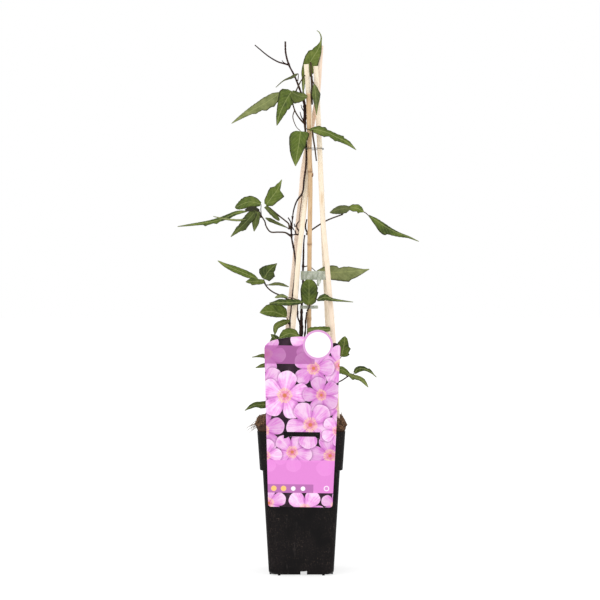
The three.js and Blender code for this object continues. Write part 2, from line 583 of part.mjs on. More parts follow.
const leaves = {
  leaf_crown: {
    leaflets: [
      { stalk: [[0.8, -2.9, 598], [3, 0, 604]], rib: [[2, 1.4, 608], [2.8, 2, 623.9], [8.5, 3,
        637.8], [14.8, 4, 649.2], [20.5, 4.4, 658], [24.3, 4.6, 667.5], [25.3, 4.6, 674.4], [23,
        4.6, 680.8], [19.8, 4.2, 683.3]], face: [0.22, -1, 0.1], tipFace: [0.5, -1, 0], left: [[0,
        1], [0.18, 2], [0.26, 5], [0.38, 7.8], [0.48, 9.8], [0.58, 9.6], [0.62, 6.6], [0.67, 6.2],
        [0.73, 3.6], [0.8, 1.2], [0.92, 0.7], [1, 0.4]], right: [[0, 1], [0.15, 4], [0.24, 8.4],
        [0.34, 11], [0.47, 11], [0.6, 8], [0.7, 4.5], [0.76, 2.5], [0.82, 1], [0.92, 0.7], [1,
        0.4]], fold: 10, wave: 0.3 },
      { stalk: [[3, 0, 604], [3, -3.6, 609], [3, -5.4, 617]], rib: [[3, -6.2, 620],
        [2.6, -6.2, 611], [2, -6.2, 602]], face: [0, -1, 0.1], left: [[0, 0.5], [0.3, 1.8], [0.6,
        1.7], [1, 0.4]], right: [[0, 0.5], [0.35, 1.3], [0.7, 1.2], [1, 0.4]], fold: 8 },
    ],
  },
  leaf_crown_small: {
    leaflets: [
      { stalk: [[-4.4, -5.9, 618], [-3.6, -7.6, 625]], rib: [[-4, -8.4, 627], [-11.8, -9, 622.6],
        [-21.9, -10.4, 618.2], [-32, -12, 609.3]], face: [-0.3, -1, 0.4], left: [[0, 0.5], [0.2,
        3], [0.4, 2], [0.6, 1], [1, 0.4]], right: [[0, 0.5], [0.15, 2.5], [0.35, 1.5], [0.6,
        0.8], [1, 0.4]] },
    ],
  },
  leaf_crown_front: {
    tendrils: [[[12.9, -9.9, 624], [13.4, -9.6, 610], [12.9, -9.4, 600], [13.8, -9.8, 588]]],
    leaflets: [
      { stalk: [[11.6, 1.4, 642], [12.2, -4, 640], [12.5, -9, 632], [12.9, -10, 624], [14.4, -10.8,
        617]], rib: [[16, -11, 613.8], [18, -11.4, 599.9], [18.6, -11.8, 587.2], [19.2, -12.5,
        574.6]], face: [0.2, -1, 0.1], left: [[0, 0.8], [0.15, 4], [0.35, 6.6], [0.5, 5.2], [0.7,
        3], [0.9, 1], [1, 0.4]], right: [[0, 0.8], [0.15, 3.5], [0.35, 6.2], [0.5, 4.6], [0.7,
        2.5], [0.9, 0.8], [1, 0.4]], fold: 22 },
    ],
  },
  leaf_upper_left: {
    tendrils: [[[-12.6, -11.2, 600.5], [-8, -12.4, 602.4], [-5.4, -11.6, 607.4],
      [-0.4, -10.6, 617.6], [4.7, -9.6, 625]]],
    petiole: [[3.3, -8.35, 565], [-1, -10, 569], [-7.6, -12, 579], [-11, -12, 590], [-13, -11,
      601]],
    leaflets: [
      { stalk: [[-13, -11, 600], [-20, -10, 605]], rib: [[-26.9, -9, 602.4], [-45.9, -7.4,
        589.7], [-64.8, -9, 579], [-77.5, -11, 570.8], [-87.6, -13, 563.8]], face: [-0.15, -1,
        0.2], left: [[0, 2], [0.1, 8], [0.22, 11], [0.26, 9], [0.36, 10], [0.42, 6.5], [0.55, 7],
        [0.6, 4.5], [0.8, 2.5], [1, 0.4]], right: [[0, 2], [0.12, 6.5], [0.3, 7.5], [0.5, 6],
        [0.7, 4], [0.85, 2.4], [1, 0.4]], fold: 12 },
      { stalk: [[-12.6, -11, 600]], rib: [[-12, -13, 604.4], [-20.6, -16, 589.7], [-26.9, -17.6,
        575.8], [-30.7, -18, 560.7]], face: [-0.1, -1, 0.2], left: [[0, 3], [0.15, 9], [0.3,
        10.7], [0.36, 9], [0.45, 9.5], [0.52, 7.4], [0.62, 7.2], [0.8, 4.5], [1, 0.4]],
        right: [[0, 6], [0.06, 12], [0.15, 14], [0.3, 11], [0.4, 9], [0.6, 5.6], [0.8, 3.2], [1,
        0.4]], fold: 8 },
      { stalk: [[-12.6, -11.4, 599]], rib: [[-12, -14, 603], [-2, -16.5, 598], [7.5, -18.5,
        597]], face: [0, -1, 0.25], left: [[0, 3], [0.2, 4], [0.5, 5], [0.8, 4.5], [1, 0.8]],
        right: [[0, 5], [0.25, 9], [0.45, 11.5], [0.55, 9.5], [0.7, 7], [0.85, 4.5], [1, 0.8]],
        fold: 6 },
      { stalk: [[-8.6, -12.2, 580], [-10.6, -14.5, 572], [-6, -15.5, 559]], rib: [[-1, -15.8,
        553.8], [-2.9, -16.8, 537.9], [-5.4, -16.6, 524], [-7.3, -16, 510]], face: [-0.06, -1,
        0.12], left: [[0, 8], [0.03, 11.5], [0.12, 11.5], [0.25, 9.5], [0.4, 9], [0.5, 7.5],
        [0.65, 6], [0.8, 4], [0.92, 1.8], [1, 0.4]], right: [[0, 6], [0.03, 9.5], [0.1, 12.5],
        [0.2, 13.5], [0.4, 12.5], [0.6, 10], [0.75, 7], [0.88, 3.8], [1, 0.4]], fold: 8 },
    ],
  },
  leaf_upper_right: {
    tendrils: [[[14, -18.3, 555.4], [14.6, -18, 548], [17.2, -17, 531], [19, -16, 516.4]]],
    leaflets: [
      { stalk: [[4.9, -7.75, 562], [4, -12, 560], [6, -16.6, 557]], rib: [[9.7, -18, 555.6],
        [21.1, -18.6, 555], [33.7, -19.4, 551.2], [45.1, -20.4, 545.5], [56.5, -21.8, 539.8],
        [68.5, -24, 529.7]], face: [0.2, -1, 0.3], left: [[0, 0.5], [0.08, 3.5], [0.17, 6],
        [0.24, 5.5], [0.3, 6.2], [0.33, 3.6], [0.45, 4], [0.6, 4.6], [0.66, 5.6], [0.69, 3.2],
        [0.8, 3.4], [0.9, 1.8], [1, 0.4]], right: [[0, 0.5], [0.1, 4.5], [0.2, 6.5], [0.33, 7.5],
        [0.38, 5.2], [0.42, 4.2], [0.5, 5.4], [0.56, 6.5], [0.6, 4.8], [0.75, 4], [0.88, 2], [1,
        0.4]], fold: 12 },
    ],
  },
  leaf_middle_left_long: {
    petiole: [[-13.4, -1.6, 423], [-20, -3, 427], [-29, -5, 427.6], [-39, -6, 428], [-44.5, -7,
      435.5], [-45.8, -7.6, 440.6], [-51, -8, 449]],
    leaflets: [
      { stalk: [[-50, -8, 448]], rib: [[-53, -8.6, 454], [-61, -9.4, 457], [-71, -10.4, 455.4]],
        face: [0, -1, 0.3], left: [[0, 2], [0.3, 4.4], [0.7, 4], [1, 0.6]],
        right: [[0, 2], [0.3, 3.4], [0.7, 3], [1, 0.6]] },
      { stalk: [[-50, -8, 448], [-60, -9, 453]], rib: [[-67.4, -9, 453.9], [-82.5, -9.4, 451.3],
        [-95.2, -10, 445.6], [-111.6, -12, 440.6], [-128, -15, 437.8], [-155, -20, 434]],
        face: [-0.1, -1, 0.35], left: [[0, 0.6], [0.12, 2.6], [0.26, 3.4], [0.42, 3.2], [0.47,
        5.2], [0.5, 3], [0.58, 3.6], [0.62, 4.8], [0.65, 2.4], [0.85, 1.4], [1, 0.4]],
        right: [[0, 0.6], [0.12, 2.6], [0.3, 3.4], [0.5, 2.8], [0.8, 1.6], [1, 0.4]], fold: 12 },
      { stalk: [[-50, -8, 446]], rib: [[-62, -12, 447.6], [-76, -15, 442.4], [-94, -20, 443.4],
        [-110, -24, 446.5]], face: [0, -0.8, 0.6], left: [[0, 0.5], [0.3, 1.8], [0.7, 1.5], [1,
        0.4]], right: [[0, 0.5], [0.3, 1.8], [0.7, 1.5], [1, 0.4]], fold: 6 },
      { stalk: [[-50, -8, 446]], rib: [[-57, -10, 454], [-68.6, -15, 440.6], [-77.5, -19, 431.7],
        [-88.2, -24, 421]], face: [-0.2, -1, 0.25], left: [[0, 4], [0.2, 6], [0.45, 6.3], [0.58,
        8], [0.66, 6.8], [0.72, 4.2], [0.85, 2.4], [1, 0.4]], right: [[0, 5], [0.2, 7], [0.45,
        6.4], [0.5, 5], [0.62, 4], [0.7, 4.2], [0.85, 2], [1, 0.4]] },
      { stalk: [[-50, -8, 446]], rib: [[-55, -11, 453], [-57.3, -15, 440.6], [-59.2, -19, 428]],
        face: [-0.1, -1, 0.25], left: [[0, 3.4], [0.3, 5], [0.6, 4.8], [0.8, 3], [1, 0.5]],
        right: [[0, 3.4], [0.3, 4.6], [0.6, 4.4], [0.8, 2.6], [1, 0.5]] },
      { stalk: [[-50, -8, 446], [-51, -4, 456]], rib: [[-51, -3, 463], [-66, 1, 466], [-84, 6,
        459]], face: [-0.1, -1, 0.45], left: [[0, 3], [0.2, 7], [0.45, 9], [0.7, 8], [0.85, 6],
        [0.95, 3.4], [1, 0.6]], right: [[0, 2.5], [0.15, 6], [0.35, 8.2], [0.6, 8], [0.8, 5.4],
        [0.93, 3], [1, 0.6]] },
    ],
  },
  leaf_middle_left_short: {
    petiole: [[-14.8, -6, 431], [-16, -7, 438], [-21, -8, 442.5], [-26, -9, 446.4], [-34, -11,
      453], [-40, -13, 458]],
    leaflets: [
      { stalk: [[-38.6, -13, 457]], rib: [[-44, -14, 461.4], [-37, -15.2, 470.9], [-29.5, -16.6,
        481], [-24.4, -18, 493]], face: [-0.1, -1, 0.1], left: [[0, 3], [0.1, 6], [0.25, 7], [0.42,
        9], [0.55, 9.5], [0.62, 7.5], [0.7, 5], [0.78, 4.5], [0.9, 1.8], [1, 0.4]], right: [[0, 3],
        [0.1, 8], [0.3, 10], [0.45, 11.4], [0.58, 13], [0.66, 3.4], [0.8, 2], [1, 0.4]] },
      { stalk: [[-38.6, -13, 457]], rib: [[-45, -18, 459], [-37, -21, 450.7], [-27.6, -25,
        441.2]], face: [0.3, -1, 0.3], left: [[0, 2.5], [0.4, 3.6], [0.8, 3.4], [1, 1.4]],
        right: [[0, 2.5], [0.4, 3.6], [0.8, 3.4], [1, 1.4]], fold: 24 },
      { stalk: [[-16.4, -8, 432]], rib: [[-17.6, -11, 433], [-29.5, -14, 438.2], [-45, -17,
        445]], face: [0, -1, 0.4], left: [[0, 0.5], [0.3, 1.6], [0.8, 2.8], [1, 0.6]],
        right: [[0, 0.5], [0.3, 1.6], [0.8, 2.8], [1, 0.6]], fold: 8 },
    ],
  },
  leaf_middle_right: {
    tendrils: [[[8, -1.3, 426.4], [5.6, -1.6, 432], [5.4, -2, 436.5], [7.1, -2, 444]]],
    petiole: [[6.4, -1.2, 424.5], [12, -1.4, 429.5], [19, -2, 434.5], [26, -4, 438.8], [34, -8.6,
      443], [52, -18, 449.4]],
    leaflets: [
      { stalk: [[51, -18, 449.2], [57, -19, 455]], rib: [[60.4, -19, 457.6], [49, -21, 455.8],
        [35.6, -24, 451.3]], face: [0.15, -1, 0.35], left: [[0, 3], [0.2, 7], [0.5, 7.5], [0.75,
        5], [0.9, 3], [1, 0.5]], right: [[0, 2], [0.25, 4.4], [0.5, 4.8], [0.75, 3.4], [1, 0.5]] },
      { stalk: [[51, -18, 449.2]], rib: [[59, -17, 457.4], [70.4, -15, 457], [78.6, -13, 452.6]],
        face: [0.05, -1, 0.4], left: [[0, 2.4], [0.3, 5], [0.6, 5.4], [0.85, 3.2], [1, 0.5]],
        right: [[0, 2.4], [0.25, 5.6], [0.5, 5], [0.7, 6.8], [0.8, 4], [0.92, 2], [1, 0.5]] },
      { stalk: [[59, -17, 456], [72, -13, 455], [80, -12, 452]], rib: [[84.9, -12, 448.2], [96.9,
        -13, 440], [109.6, -15, 431.7], [122.2, -17.4, 425.4], [134.9, -20, 421], [146.9, -23,
        415.3]], face: [0.2, -1, 0.3], left: [[0, 1], [0.15, 3], [0.35, 3.2], [0.6, 2], [0.8, 1],
        [1, 0.4]], right: [[0, 1], [0.08, 3.4], [0.2, 7.5], [0.33, 11.6], [0.42, 12], [0.46, 8],
        [0.6, 5.6], [0.8, 2.2], [1, 0.4]] },
    ],
  },
  leaf_lower_left: {
    petiole: [[-10.9, -2, 341], [-18, -3, 343.6], [-26, -4.6, 347.6], [-35.6, -6, 352], [-42, -6.6,
      357], [-47, -7, 364]],
    leaflets: [
      { stalk: [[-45, -7, 362]], rib: [[-55, -9, 368.4], [-71.2, -12, 375.5], [-83.8, -15,
        380.6], [-95.2, -18, 385.6], [-104.7, -20, 391.3]], face: [-0.2, -1, 0.4], left: [[0, 1],
        [0.1, 3.5], [0.3, 4.8], [0.6, 4.4], [0.8, 2.8], [0.92, 1.5], [1, 0.4]], right: [[0, 1],
        [0.1, 3.5], [0.3, 4.8], [0.6, 4.2], [0.8, 2.6], [0.92, 1.4], [1, 0.4]] },
      { stalk: [[-46, -7, 363]], rib: [[-47, -6, 368.5], [-42, -3, 377.5], [-30.7, 1, 388.3]],
        face: [-0.1, -1, 0.1], left: [[0, 3], [0.15, 9], [0.3, 11.5], [0.5, 8.5], [0.7, 5], [0.88,
        2], [1, 0.4]], right: [[0, 8], [0.2, 10.5], [0.4, 11.5], [0.5, 9], [0.56, 6.5], [0.7, 5.5],
        [0.88, 2], [1, 0.4]] },
      { stalk: [[-45, -7, 362]], rib: [[-46.6, -10, 366], [-56, -14, 365.4], [-69.4, -21,
        364.6]], face: [-0.1, -1, 0.35], left: [[0, 3], [0.2, 4.8], [0.5, 5], [0.7, 5.4], [0.76,
        3.2], [0.9, 2], [1, 0.4]], right: [[0, 1.5], [0.15, 2.5], [0.4, 3.5], [0.65, 5], [0.85,
        3], [1, 0.6]] },
      { stalk: [[-44, -7, 361]], rib: [[-41, -9, 361], [-29, -12, 362.2], [-15.6, -14, 358.6]],
        face: [0, -1, 0.4], left: [[0, 0.8], [0.3, 2.3], [0.7, 2], [1, 0.5]], right: [[0, 0.8],
        [0.3, 2.3], [0.7, 2], [1, 0.5]] },
    ],
  },
  leaf_centre_front: {
    petiole: [[7.6, -10.6, 328.5], [9.4, -12.6, 332], [10, -13.6, 335]],
    leaflets: [
      { stalk: [[9.6, -13, 333]], rib: [[9.7, -14.6, 336], [9.7, -19, 351], [9.7, -26, 367.6]],
        face: [0, -1, -0.35], left: [[0, 4], [0.12, 9], [0.3, 10.5], [0.6, 11], [0.8, 9.6], [0.92,
        7], [1, 3.4]], right: [[0, 4], [0.1, 8.6], [0.3, 10.2], [0.48, 12], [0.52, 10.4], [0.66,
        11.4], [0.8, 9.4], [0.92, 7], [1, 3.4]], fold: 10 },
      { stalk: [[9.6, -13, 333], [14, -13.6, 343], [18.6, -19, 344]], rib: [[20, -24.5, 341.6], [30, -26, 345.4],
        [40, -27, 342.4], [64.6, -31, 339.4]], face: [0, -1, 0.4], left: [[0, 1.4], [0.12, 4],
        [0.22, 4.6], [0.34, 2], [0.6, 1.6], [0.8, 1], [1, 0.4]], right: [[0, 1.4], [0.15, 4.6],
        [0.3, 4.6], [0.45, 2.4], [0.7, 1.2], [1, 0.4]] },
    ],
  },
  leaf_centre_left: {
    petiole: [[-4.6, -9.6, 341.6], [-3.6, -14, 342], [-1, -24, 340.4]],
    leaflets: [
      { stalk: [[-2, -22, 341]], rib: [[3.4, -26, 339.5], [-14.3, -28.4, 338.8], [-26.9, -28,
        338.6], [-40, -27, 338]], face: [0, -1, 0.4], left: [[0, 1], [0.2, 3.8], [0.5, 4.6],
        [0.8, 3.4], [1, 0.5]], right: [[0, 1], [0.2, 4], [0.5, 4.6], [0.7, 5], [0.85, 2.6], [1,
        0.5]] },
      { stalk: [[-3.4, -22, 341.4], [-10, -25, 344]], rib: [[-17, -25.5, 345.5], [-25, -26, 347],
        [-33, -25, 345]], face: [0, -1, 0.4], left: [[0, 0.8], [0.4, 2.8], [0.8, 2], [1, 0.5]],
        right: [[0, 0.8], [0.4, 2.8], [0.8, 2], [1, 0.5]] },
    ],
  },
  leaf_right_back: {
    leaflets: [
      { stalk: [[3.8, -2.2, 384], [9, 0.6, 385], [14, 2, 382]], rib: [[19.8, 3.8, 377.5], [42.6,
        3, 377], [61.6, 0, 378], [86, -3, 381]], face: [0.05, -1, 0.2], left: [[0, 2], [0.12, 7],
        [0.28, 9.4], [0.38, 8.4], [0.42, 5.4], [0.5, 7], [0.62, 6.6], [0.78, 3.4], [0.9, 1], [1,
        0.4]], right: [[0, 2], [0.1, 6], [0.24, 9.4], [0.45, 11.6], [0.53, 12.6], [0.6, 13.4],
        [0.64, 10.6], [0.74, 8.6], [0.86, 5], [0.95, 2], [1, 0.4]], fold: 8 },
    ],
  },
  leaf_low_left_upper: {
    petiole: [[-15.6, -0.6, 312], [-16.4, -3, 314], [-16.4, -5, 316]],
    leaflets: [
      { stalk: [[-16, -3, 314.6]], rib: [[-18.7, -6, 320.5], [-35.8, -10, 327.4], [-52.2, -13,
        326.2]], face: [-0.1, -1, 0.25], left: [[0, 1], [0.12, 2.5], [0.35, 6.5], [0.6, 7.5], [0.8,
        5.5], [0.93, 2.4], [1, 0.4]], right: [[0, 3], [0.12, 9.6], [0.3, 11.6], [0.5, 11.2], [0.75,
        8.2], [0.92, 3.6], [1, 0.4]] },
      { stalk: [[-15, -3.6, 314]], rib: [[-13.7, -6, 316.1], [-24.4, -11, 312.9], [-31.3, -13,
        308.5], [-33.2, -15, 298]], face: [-0.1, -1, 0.4], left: [[0, 1], [0.25, 4.2], [0.6,
        4.6], [0.85, 2.6], [1, 0.4]], right: [[0, 1], [0.25, 3.8], [0.6, 4.2], [0.85, 2.6], [1,
        0.4]] },
    ],
  },
  leaf_low_left: {
    petiole: [[-4, -5.4, 288], [-3.4, -14, 291], [-2.4, -27, 295]],
    leaflets: [
      { stalk: [[-2.6, -25, 294.6]], rib: [[-2.4, -31, 297], [-14.3, -34, 300.3], [-28, -36,
        294.5]], face: [0, -1, 0.5], left: [[0, 1], [0.2, 6], [0.5, 8], [0.62, 8.4], [0.7, 5.8],
        [0.88, 3], [1, 0.5]], right: [[0, 1], [0.2, 6], [0.42, 7.4], [0.66, 7.4], [0.86, 4], [1,
        0.5]] },
      { stalk: [[-3.4, -25, 295], [-16, -31, 290]], rib: [[-24, -33, 287.5], [-31, -35, 293],
        [-38, -36, 299.5]], face: [-0.2, -1, 0.2], left: [[0, 1], [0.3, 4.4], [0.6, 4], [0.85,
        2], [1, 0.4]], right: [[0, 1], [0.3, 4.4], [0.6, 4.6], [0.85, 2.6], [1, 0.4]] },
    ],
  },
  leaf_behind_lobe: {
    leaflets: [
      { stalk: [[3.6, -7, 282], [5.6, -13, 292], [7.4, -17.6, 299]], rib: [[7.6, -20.6, 304], [20,
        -25, 305.4], [36, -30, 304.5]], face: [0, -1, 0.6], left: [[0, 2], [0.15, 3.6], [0.5, 4],
        [0.8, 4.4], [0.95, 4.4], [1, 2]], right: [[0, 2], [0.3, 4], [0.7, 4], [1, 2]] },
    ],
  },
  leaf_right_small: {
    petiole: [[5, -5.6, 256], [18, -9, 260], [34, -12, 263], [46, -14, 265]],
    leaflets: [
      { stalk: [[45, -14, 264.8]], rib: [[50.4, -15.6, 271], [53, -18, 282], [54.6, -21, 296.6]],
        face: [0.1, -1, 0.1], left: [[0, 2.4], [0.2, 5], [0.5, 7], [0.62, 9.2], [0.72, 8], [0.86,
        4.6], [0.94, 3], [1, 0.6]], right: [[0, 3], [0.08, 7], [0.2, 9.6], [0.25, 7.8], [0.46,
        9.4], [0.52, 6.8], [0.75, 5], [0.9, 3.6], [1, 0.6]] },
      { stalk: [[34, -12, 262.8]], rib: [[33, -15.5, 262.4], [30, -26, 258.6], [27, -37, 252]],
        face: [0, -0.6, 0.9], width: [6, 6], teeth: 1 },
    ],
  },
  leaf_low_right: {
    petiole: [[1.4, 3, 216], [9, 5.4, 225], [20, 2, 231], [36, -4, 236], [48, -5, 239], [60, -6,
      246.5]],
    leaflets: [
      { stalk: [[58, -6, 245.6]], rib: [[60, -7.6, 249], [52, -12, 254], [44, -17, 255.5]],
        face: [0, -1, 0.35], left: [[0, 2.6], [0.3, 5], [0.6, 6.2], [0.85, 6], [1, 2.4]],
        right: [[0, 2], [0.3, 3.4], [0.6, 4.4], [0.85, 4.4], [1, 2]] },
      { stalk: [[60, -6, 246], [65, -7, 248]], rib: [[67, -7.6, 250], [71.4, -9, 255], [79,
        -10.6, 255.4], [86.4, -12, 252], [94.5, -14, 245]], face: [0.1, -1, 0.35], left: [[0, 2],
        [0.15, 3.4], [0.4, 3.4], [0.55, 2], [0.62, 3.2], [0.74, 2], [0.85, 0.8], [1, 0.5]],
        right: [[0, 2], [0.15, 4.4], [0.3, 4.6], [0.5, 2.4], [0.7, 1.6], [0.85, 0.8], [1, 0.5]] },
      { stalk: [[57, -6.4, 246]], rib: [[56, -8, 250.5], [66, -11, 245.4], [76, -16, 241.6], [84,
        -19, 232.6]], face: [0, -1, 0.35], left: [[0, 1], [0.2, 2.6], [0.45, 3.4], [0.7, 3.2],
        [0.85, 2], [1, 0.4]], right: [[0, 1], [0.2, 3], [0.34, 4.8], [0.4, 2.8], [0.7, 2.6],
        [0.85, 1.8], [1, 0.4]] },
    ],
  },
  leaf_beside_label: {
    petiole: [[-6.4, 0.6, 234], [-18, -6, 246], [-30, -13, 258]],
    leaflets: [
      { stalk: [[-28, -12, 256]], rib: [[-32, -14, 262], [-46, -18, 271.5], [-61.5, -23, 270.5]],
        face: [-0.1, -1, 0.5], left: [[0, 1], [0.3, 3.6], [0.6, 3], [0.85, 1], [1, 0.5]],
        right: [[0, 1], [0.3, 3.6], [0.6, 3], [0.85, 1], [1, 0.5]] },
      { stalk: [[-28, -12, 256]], rib: [[-32, -15, 259], [-44, -21, 260.5], [-57, -27, 257.5]],
        face: [-0.1, -1, 0.5], left: [[0, 1], [0.3, 3.4], [0.7, 3.2], [1, 0.4]], right: [[0, 1],
        [0.3, 3.4], [0.7, 2.8], [1, 0.4]] },
      { stalk: [[-28, -12, 256]], rib: [[-31, -15, 268], [-36, -22, 282], [-35.6, -30, 296.4]],
        face: [-0.1, -1, -0.3], left: [[0, 2], [0.4, 5.6], [0.6, 5], [0.8, 3.4], [0.92, 2], [1,
        0.6]], right: [[0, 2], [0.4, 5.6], [0.6, 5], [0.8, 3.4], [0.92, 2], [1, 0.6]] },
    ],
  },
  leaf_foot: {
    petiole: [[-5.6, -2.6, 214], [-18, -14, 218], [-30, -26, 215]],
    leaflets: [
      { stalk: [[-28, -24.4, 215.4]], rib: [[-34, -30, 212.6], [-48, -36, 212], [-60, -39,
        210.6], [-70, -42, 205]], face: [-0.1, -1, 0.35], left: [[0, 2], [0.2, 5], [0.45, 5.4],
        [0.6, 3], [0.8, 2.6], [0.92, 1], [1, 0.5]], right: [[0, 2], [0.2, 4.6], [0.4, 4.2], [0.6,
        4.4], [0.8, 2.6], [0.92, 1], [1, 0.5]] },
      { stalk: [[-28, -24.4, 215.4]], rib: [[-31, -30, 217], [-36, -36, 226], [-38, -42, 238]],
        face: [0.1, -0.9, -0.6], width: [7, 7], teeth: 2 },
      { stalk: [[-28, -24.4, 215.4]], rib: [[-30, -31, 214.4], [-22, -40, 213], [-12, -47,
        209.4]], face: [0, -0.4, 1], width: [6, 6], teeth: 1 },
    ],
  },
  leaf_back: {
    petiole: [[-5.7, 4.6, 240], [-8, 14, 256], [-9, 27, 268]],
    leaflets: [
      { stalk: [[-9, 25, 267]], rib: [[-9, 30, 270], [-6, 45, 276], [0, 64, 274]], face: [0, 0.5,
        1], width: [9, 9], teeth: 2 },
      { stalk: [[-9, 25, 267]], rib: [[-13, 31, 268.6], [-26, 40, 271], [-40, 46, 266]],
        face: [-0.2, 0.7, 0.9], width: [8, 8], teeth: 2 },
      { stalk: [[-9, 25, 267]], rib: [[-6, 30, 266], [8, 38, 262], [22, 44, 254]], face: [0.2,
        0.8, 0.8], width: [7, 7], teeth: 2 },
    ],
  },
};

// The part

addPiece('pot', makePot(), materials.plastic);
addPiece('soil', makeSoil(), materials.soil);
for (const [name, points] of Object.entries(stakePaths)) {
  addPiece(name, makeStake(points), materials.stake);
}
addPiece('bamboo_cane', makeCane(), materials.cane);
for (const [name, paths] of Object.entries(stemPaths)) {
  addPiece(name, makeStem(paths), materials.stem);
}
addPiece('wire_tie', makeWireTie(), materials.wire);
addPiece('tape_tie', makeBand(tapeBand), materials.tape);
addPiece('lower_tie', makeBand(lowerBand), materials.tape);
for (const [name, leaf] of Object.entries(leaves)) {
  addPiece(name, makeLeaf(leaf), materials.leaf);
}
const labelMesh = addPiece('label', makeLabel(), materials.card);
labelMesh.rotation.set(THREE.MathUtils.degToRad(labelLean), THREE.MathUtils.degToRad(labelTilt), 0);
labelMesh.position.set(0, -rimHalf - gap, rimHeight);

export default part;
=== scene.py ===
# A potted clematis on a pale floor: finer plant, canes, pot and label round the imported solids.
# The dictionaries hold millimetres; meshes are made in metres, in the frame of the solids.
import math

import bmesh
import bpy
import numpy as np
from mathutils import Matrix, Vector, noise


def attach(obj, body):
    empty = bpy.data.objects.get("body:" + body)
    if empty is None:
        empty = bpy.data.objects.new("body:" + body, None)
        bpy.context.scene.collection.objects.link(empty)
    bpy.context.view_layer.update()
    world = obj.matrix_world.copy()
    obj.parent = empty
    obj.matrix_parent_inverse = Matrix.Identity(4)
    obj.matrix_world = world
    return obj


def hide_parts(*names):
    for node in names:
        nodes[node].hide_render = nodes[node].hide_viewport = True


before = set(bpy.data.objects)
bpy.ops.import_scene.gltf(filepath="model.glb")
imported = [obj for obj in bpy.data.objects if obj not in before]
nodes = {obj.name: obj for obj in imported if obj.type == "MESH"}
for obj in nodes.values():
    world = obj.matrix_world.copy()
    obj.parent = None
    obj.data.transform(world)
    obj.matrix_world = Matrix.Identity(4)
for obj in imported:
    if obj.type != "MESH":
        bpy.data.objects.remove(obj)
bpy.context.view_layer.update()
mm = 0.001
print("packed solids loaded:", len(nodes), "nodes")


# Camera, light and floor

view = {
    "place": (-1.6, -2200, 342), "lens": 104.43, "sensor": 36, "world": 1.0,
    # lamps and floor in metres and degrees
    "key": 8, "keyPlace": (-1.5, -1.9, 1.7), "fill": 3, "fillPlace": (1.8, -1.3, 0.9),
    "lampSize": 1.6, "target": (0, 0, 0.34), "sun": 0.35, "sunAngle": 50, "sunTurn": (28, -18, 0),
    "floorSize": 60, "floorTone": 0.35, "floorGlow": 0.72,
}


def show(piece):
    bpy.context.scene.collection.objects.link(piece)
    return piece


def makeCamera():
    data = bpy.data.cameras.new("photoCamera")
    data.sensor_width = view["sensor"]
    data.lens = view["lens"]
    data.clip_end = 200
    camera = show(bpy.data.objects.new("photoCamera", data))
    camera.location = Vector(view["place"]) * mm
    camera.rotation_euler = (math.pi / 2, 0, 0)
    bpy.context.scene.camera = camera


def makeLight(name, kind, **values):
    data = bpy.data.lights.new(name, kind)
    for key, value in values.items():
        setattr(data, key, value)
    return show(bpy.data.objects.new(name, data))


def makeStudio():
    world = bpy.data.worlds.new("studio")
    world.use_nodes = True
    background = world.node_tree.nodes["Background"]
    background.inputs["Color"].default_value = (1, 1, 1, 1)
    background.inputs["Strength"].default_value = view["world"]
    bpy.context.scene.world = world
    bpy.context.scene.view_settings.view_transform = "Standard"
    for name, power, place in (("keyLight", view["key"], view["keyPlace"]),
                               ("fillLight", view["fill"], view["fillPlace"])):
        lamp = makeLight(name, "AREA", energy=power, size=view["lampSize"])
        lamp.location = place
        aim = Vector(view["target"]) - Vector(place)
        lamp.rotation_euler = aim.to_track_quat("-Z", "Y").to_euler()
    sun = makeLight("softSun", "SUN", energy=view["sun"], angle=math.radians(view["sunAngle"]))
    sun.rotation_euler = [math.radians(turn) for turn in view["sunTurn"]]

    half = view["floorSize"] / 2
    mesh = bpy.data.meshes.new("floor")
    mesh.from_pydata([(-half, -half, 0), (half, -half, 0), (half, half, 0), (-half, half, 0)],
                     [], [(0, 1, 2, 3)])
    floor = show(bpy.data.objects.new("floor", mesh))
    tone = view["floorTone"]
    paint = bpy.data.materials.new("paleFloor")
    paint.use_nodes = True
    shader = paint.node_tree.nodes["Principled BSDF"]
    shader.inputs["Base Color"].default_value = (tone, tone, tone, 1)
    shader.inputs["Roughness"].default_value = 0.8
    shader.inputs["Specular IOR Level"].default_value = 0
    shader.inputs["Emission Color"].default_value = (1, 1, 1, 1)
    shader.inputs["Emission Strength"].default_value = view["floorGlow"]
    mesh.materials.append(paint)


makeCamera()
makeStudio()
print("camera, light and floor set")


# Finishes: small node trees on Object coordinates or on the piece's own map.
# Colours are written as on a screen, from 0 to 255, and put() and rampOf() convert them.

def shade(red, green, blue):
    # from screen values to the linear ones that a shader takes
    return tuple((part / 255) ** 2.2 for part in (red, green, blue)) + (1,)


def put(tree, kind, values=None, **settings):
    made = tree.nodes.new(kind)
    for name, value in settings.items():
        setattr(made, name, value)
    for name, value in (values or {}).items():
        if isinstance(value, bpy.types.NodeSocket):
            tree.links.new(value, made.inputs[name])
        elif made.inputs[name].type == "RGBA":
            made.inputs[name].default_value = shade(*value)
        else:
            made.inputs[name].default_value = value
    return made


def socket(tree, name, kind, way="INPUT"):
    return tree.interface.new_socket(name, in_out=way, socket_type="NodeSocket" + kind)


def startFinish(name, roughness, specular=0.5, more=()):
    paint = bpy.data.materials.new(name)
    paint.use_nodes = True
    inputs = paint.node_tree.nodes["Principled BSDF"].inputs
    for label, value in [("Roughness", roughness), ("Specular IOR Level", specular), *more]:
        inputs[label].default_value = value
    return paint, paint.node_tree


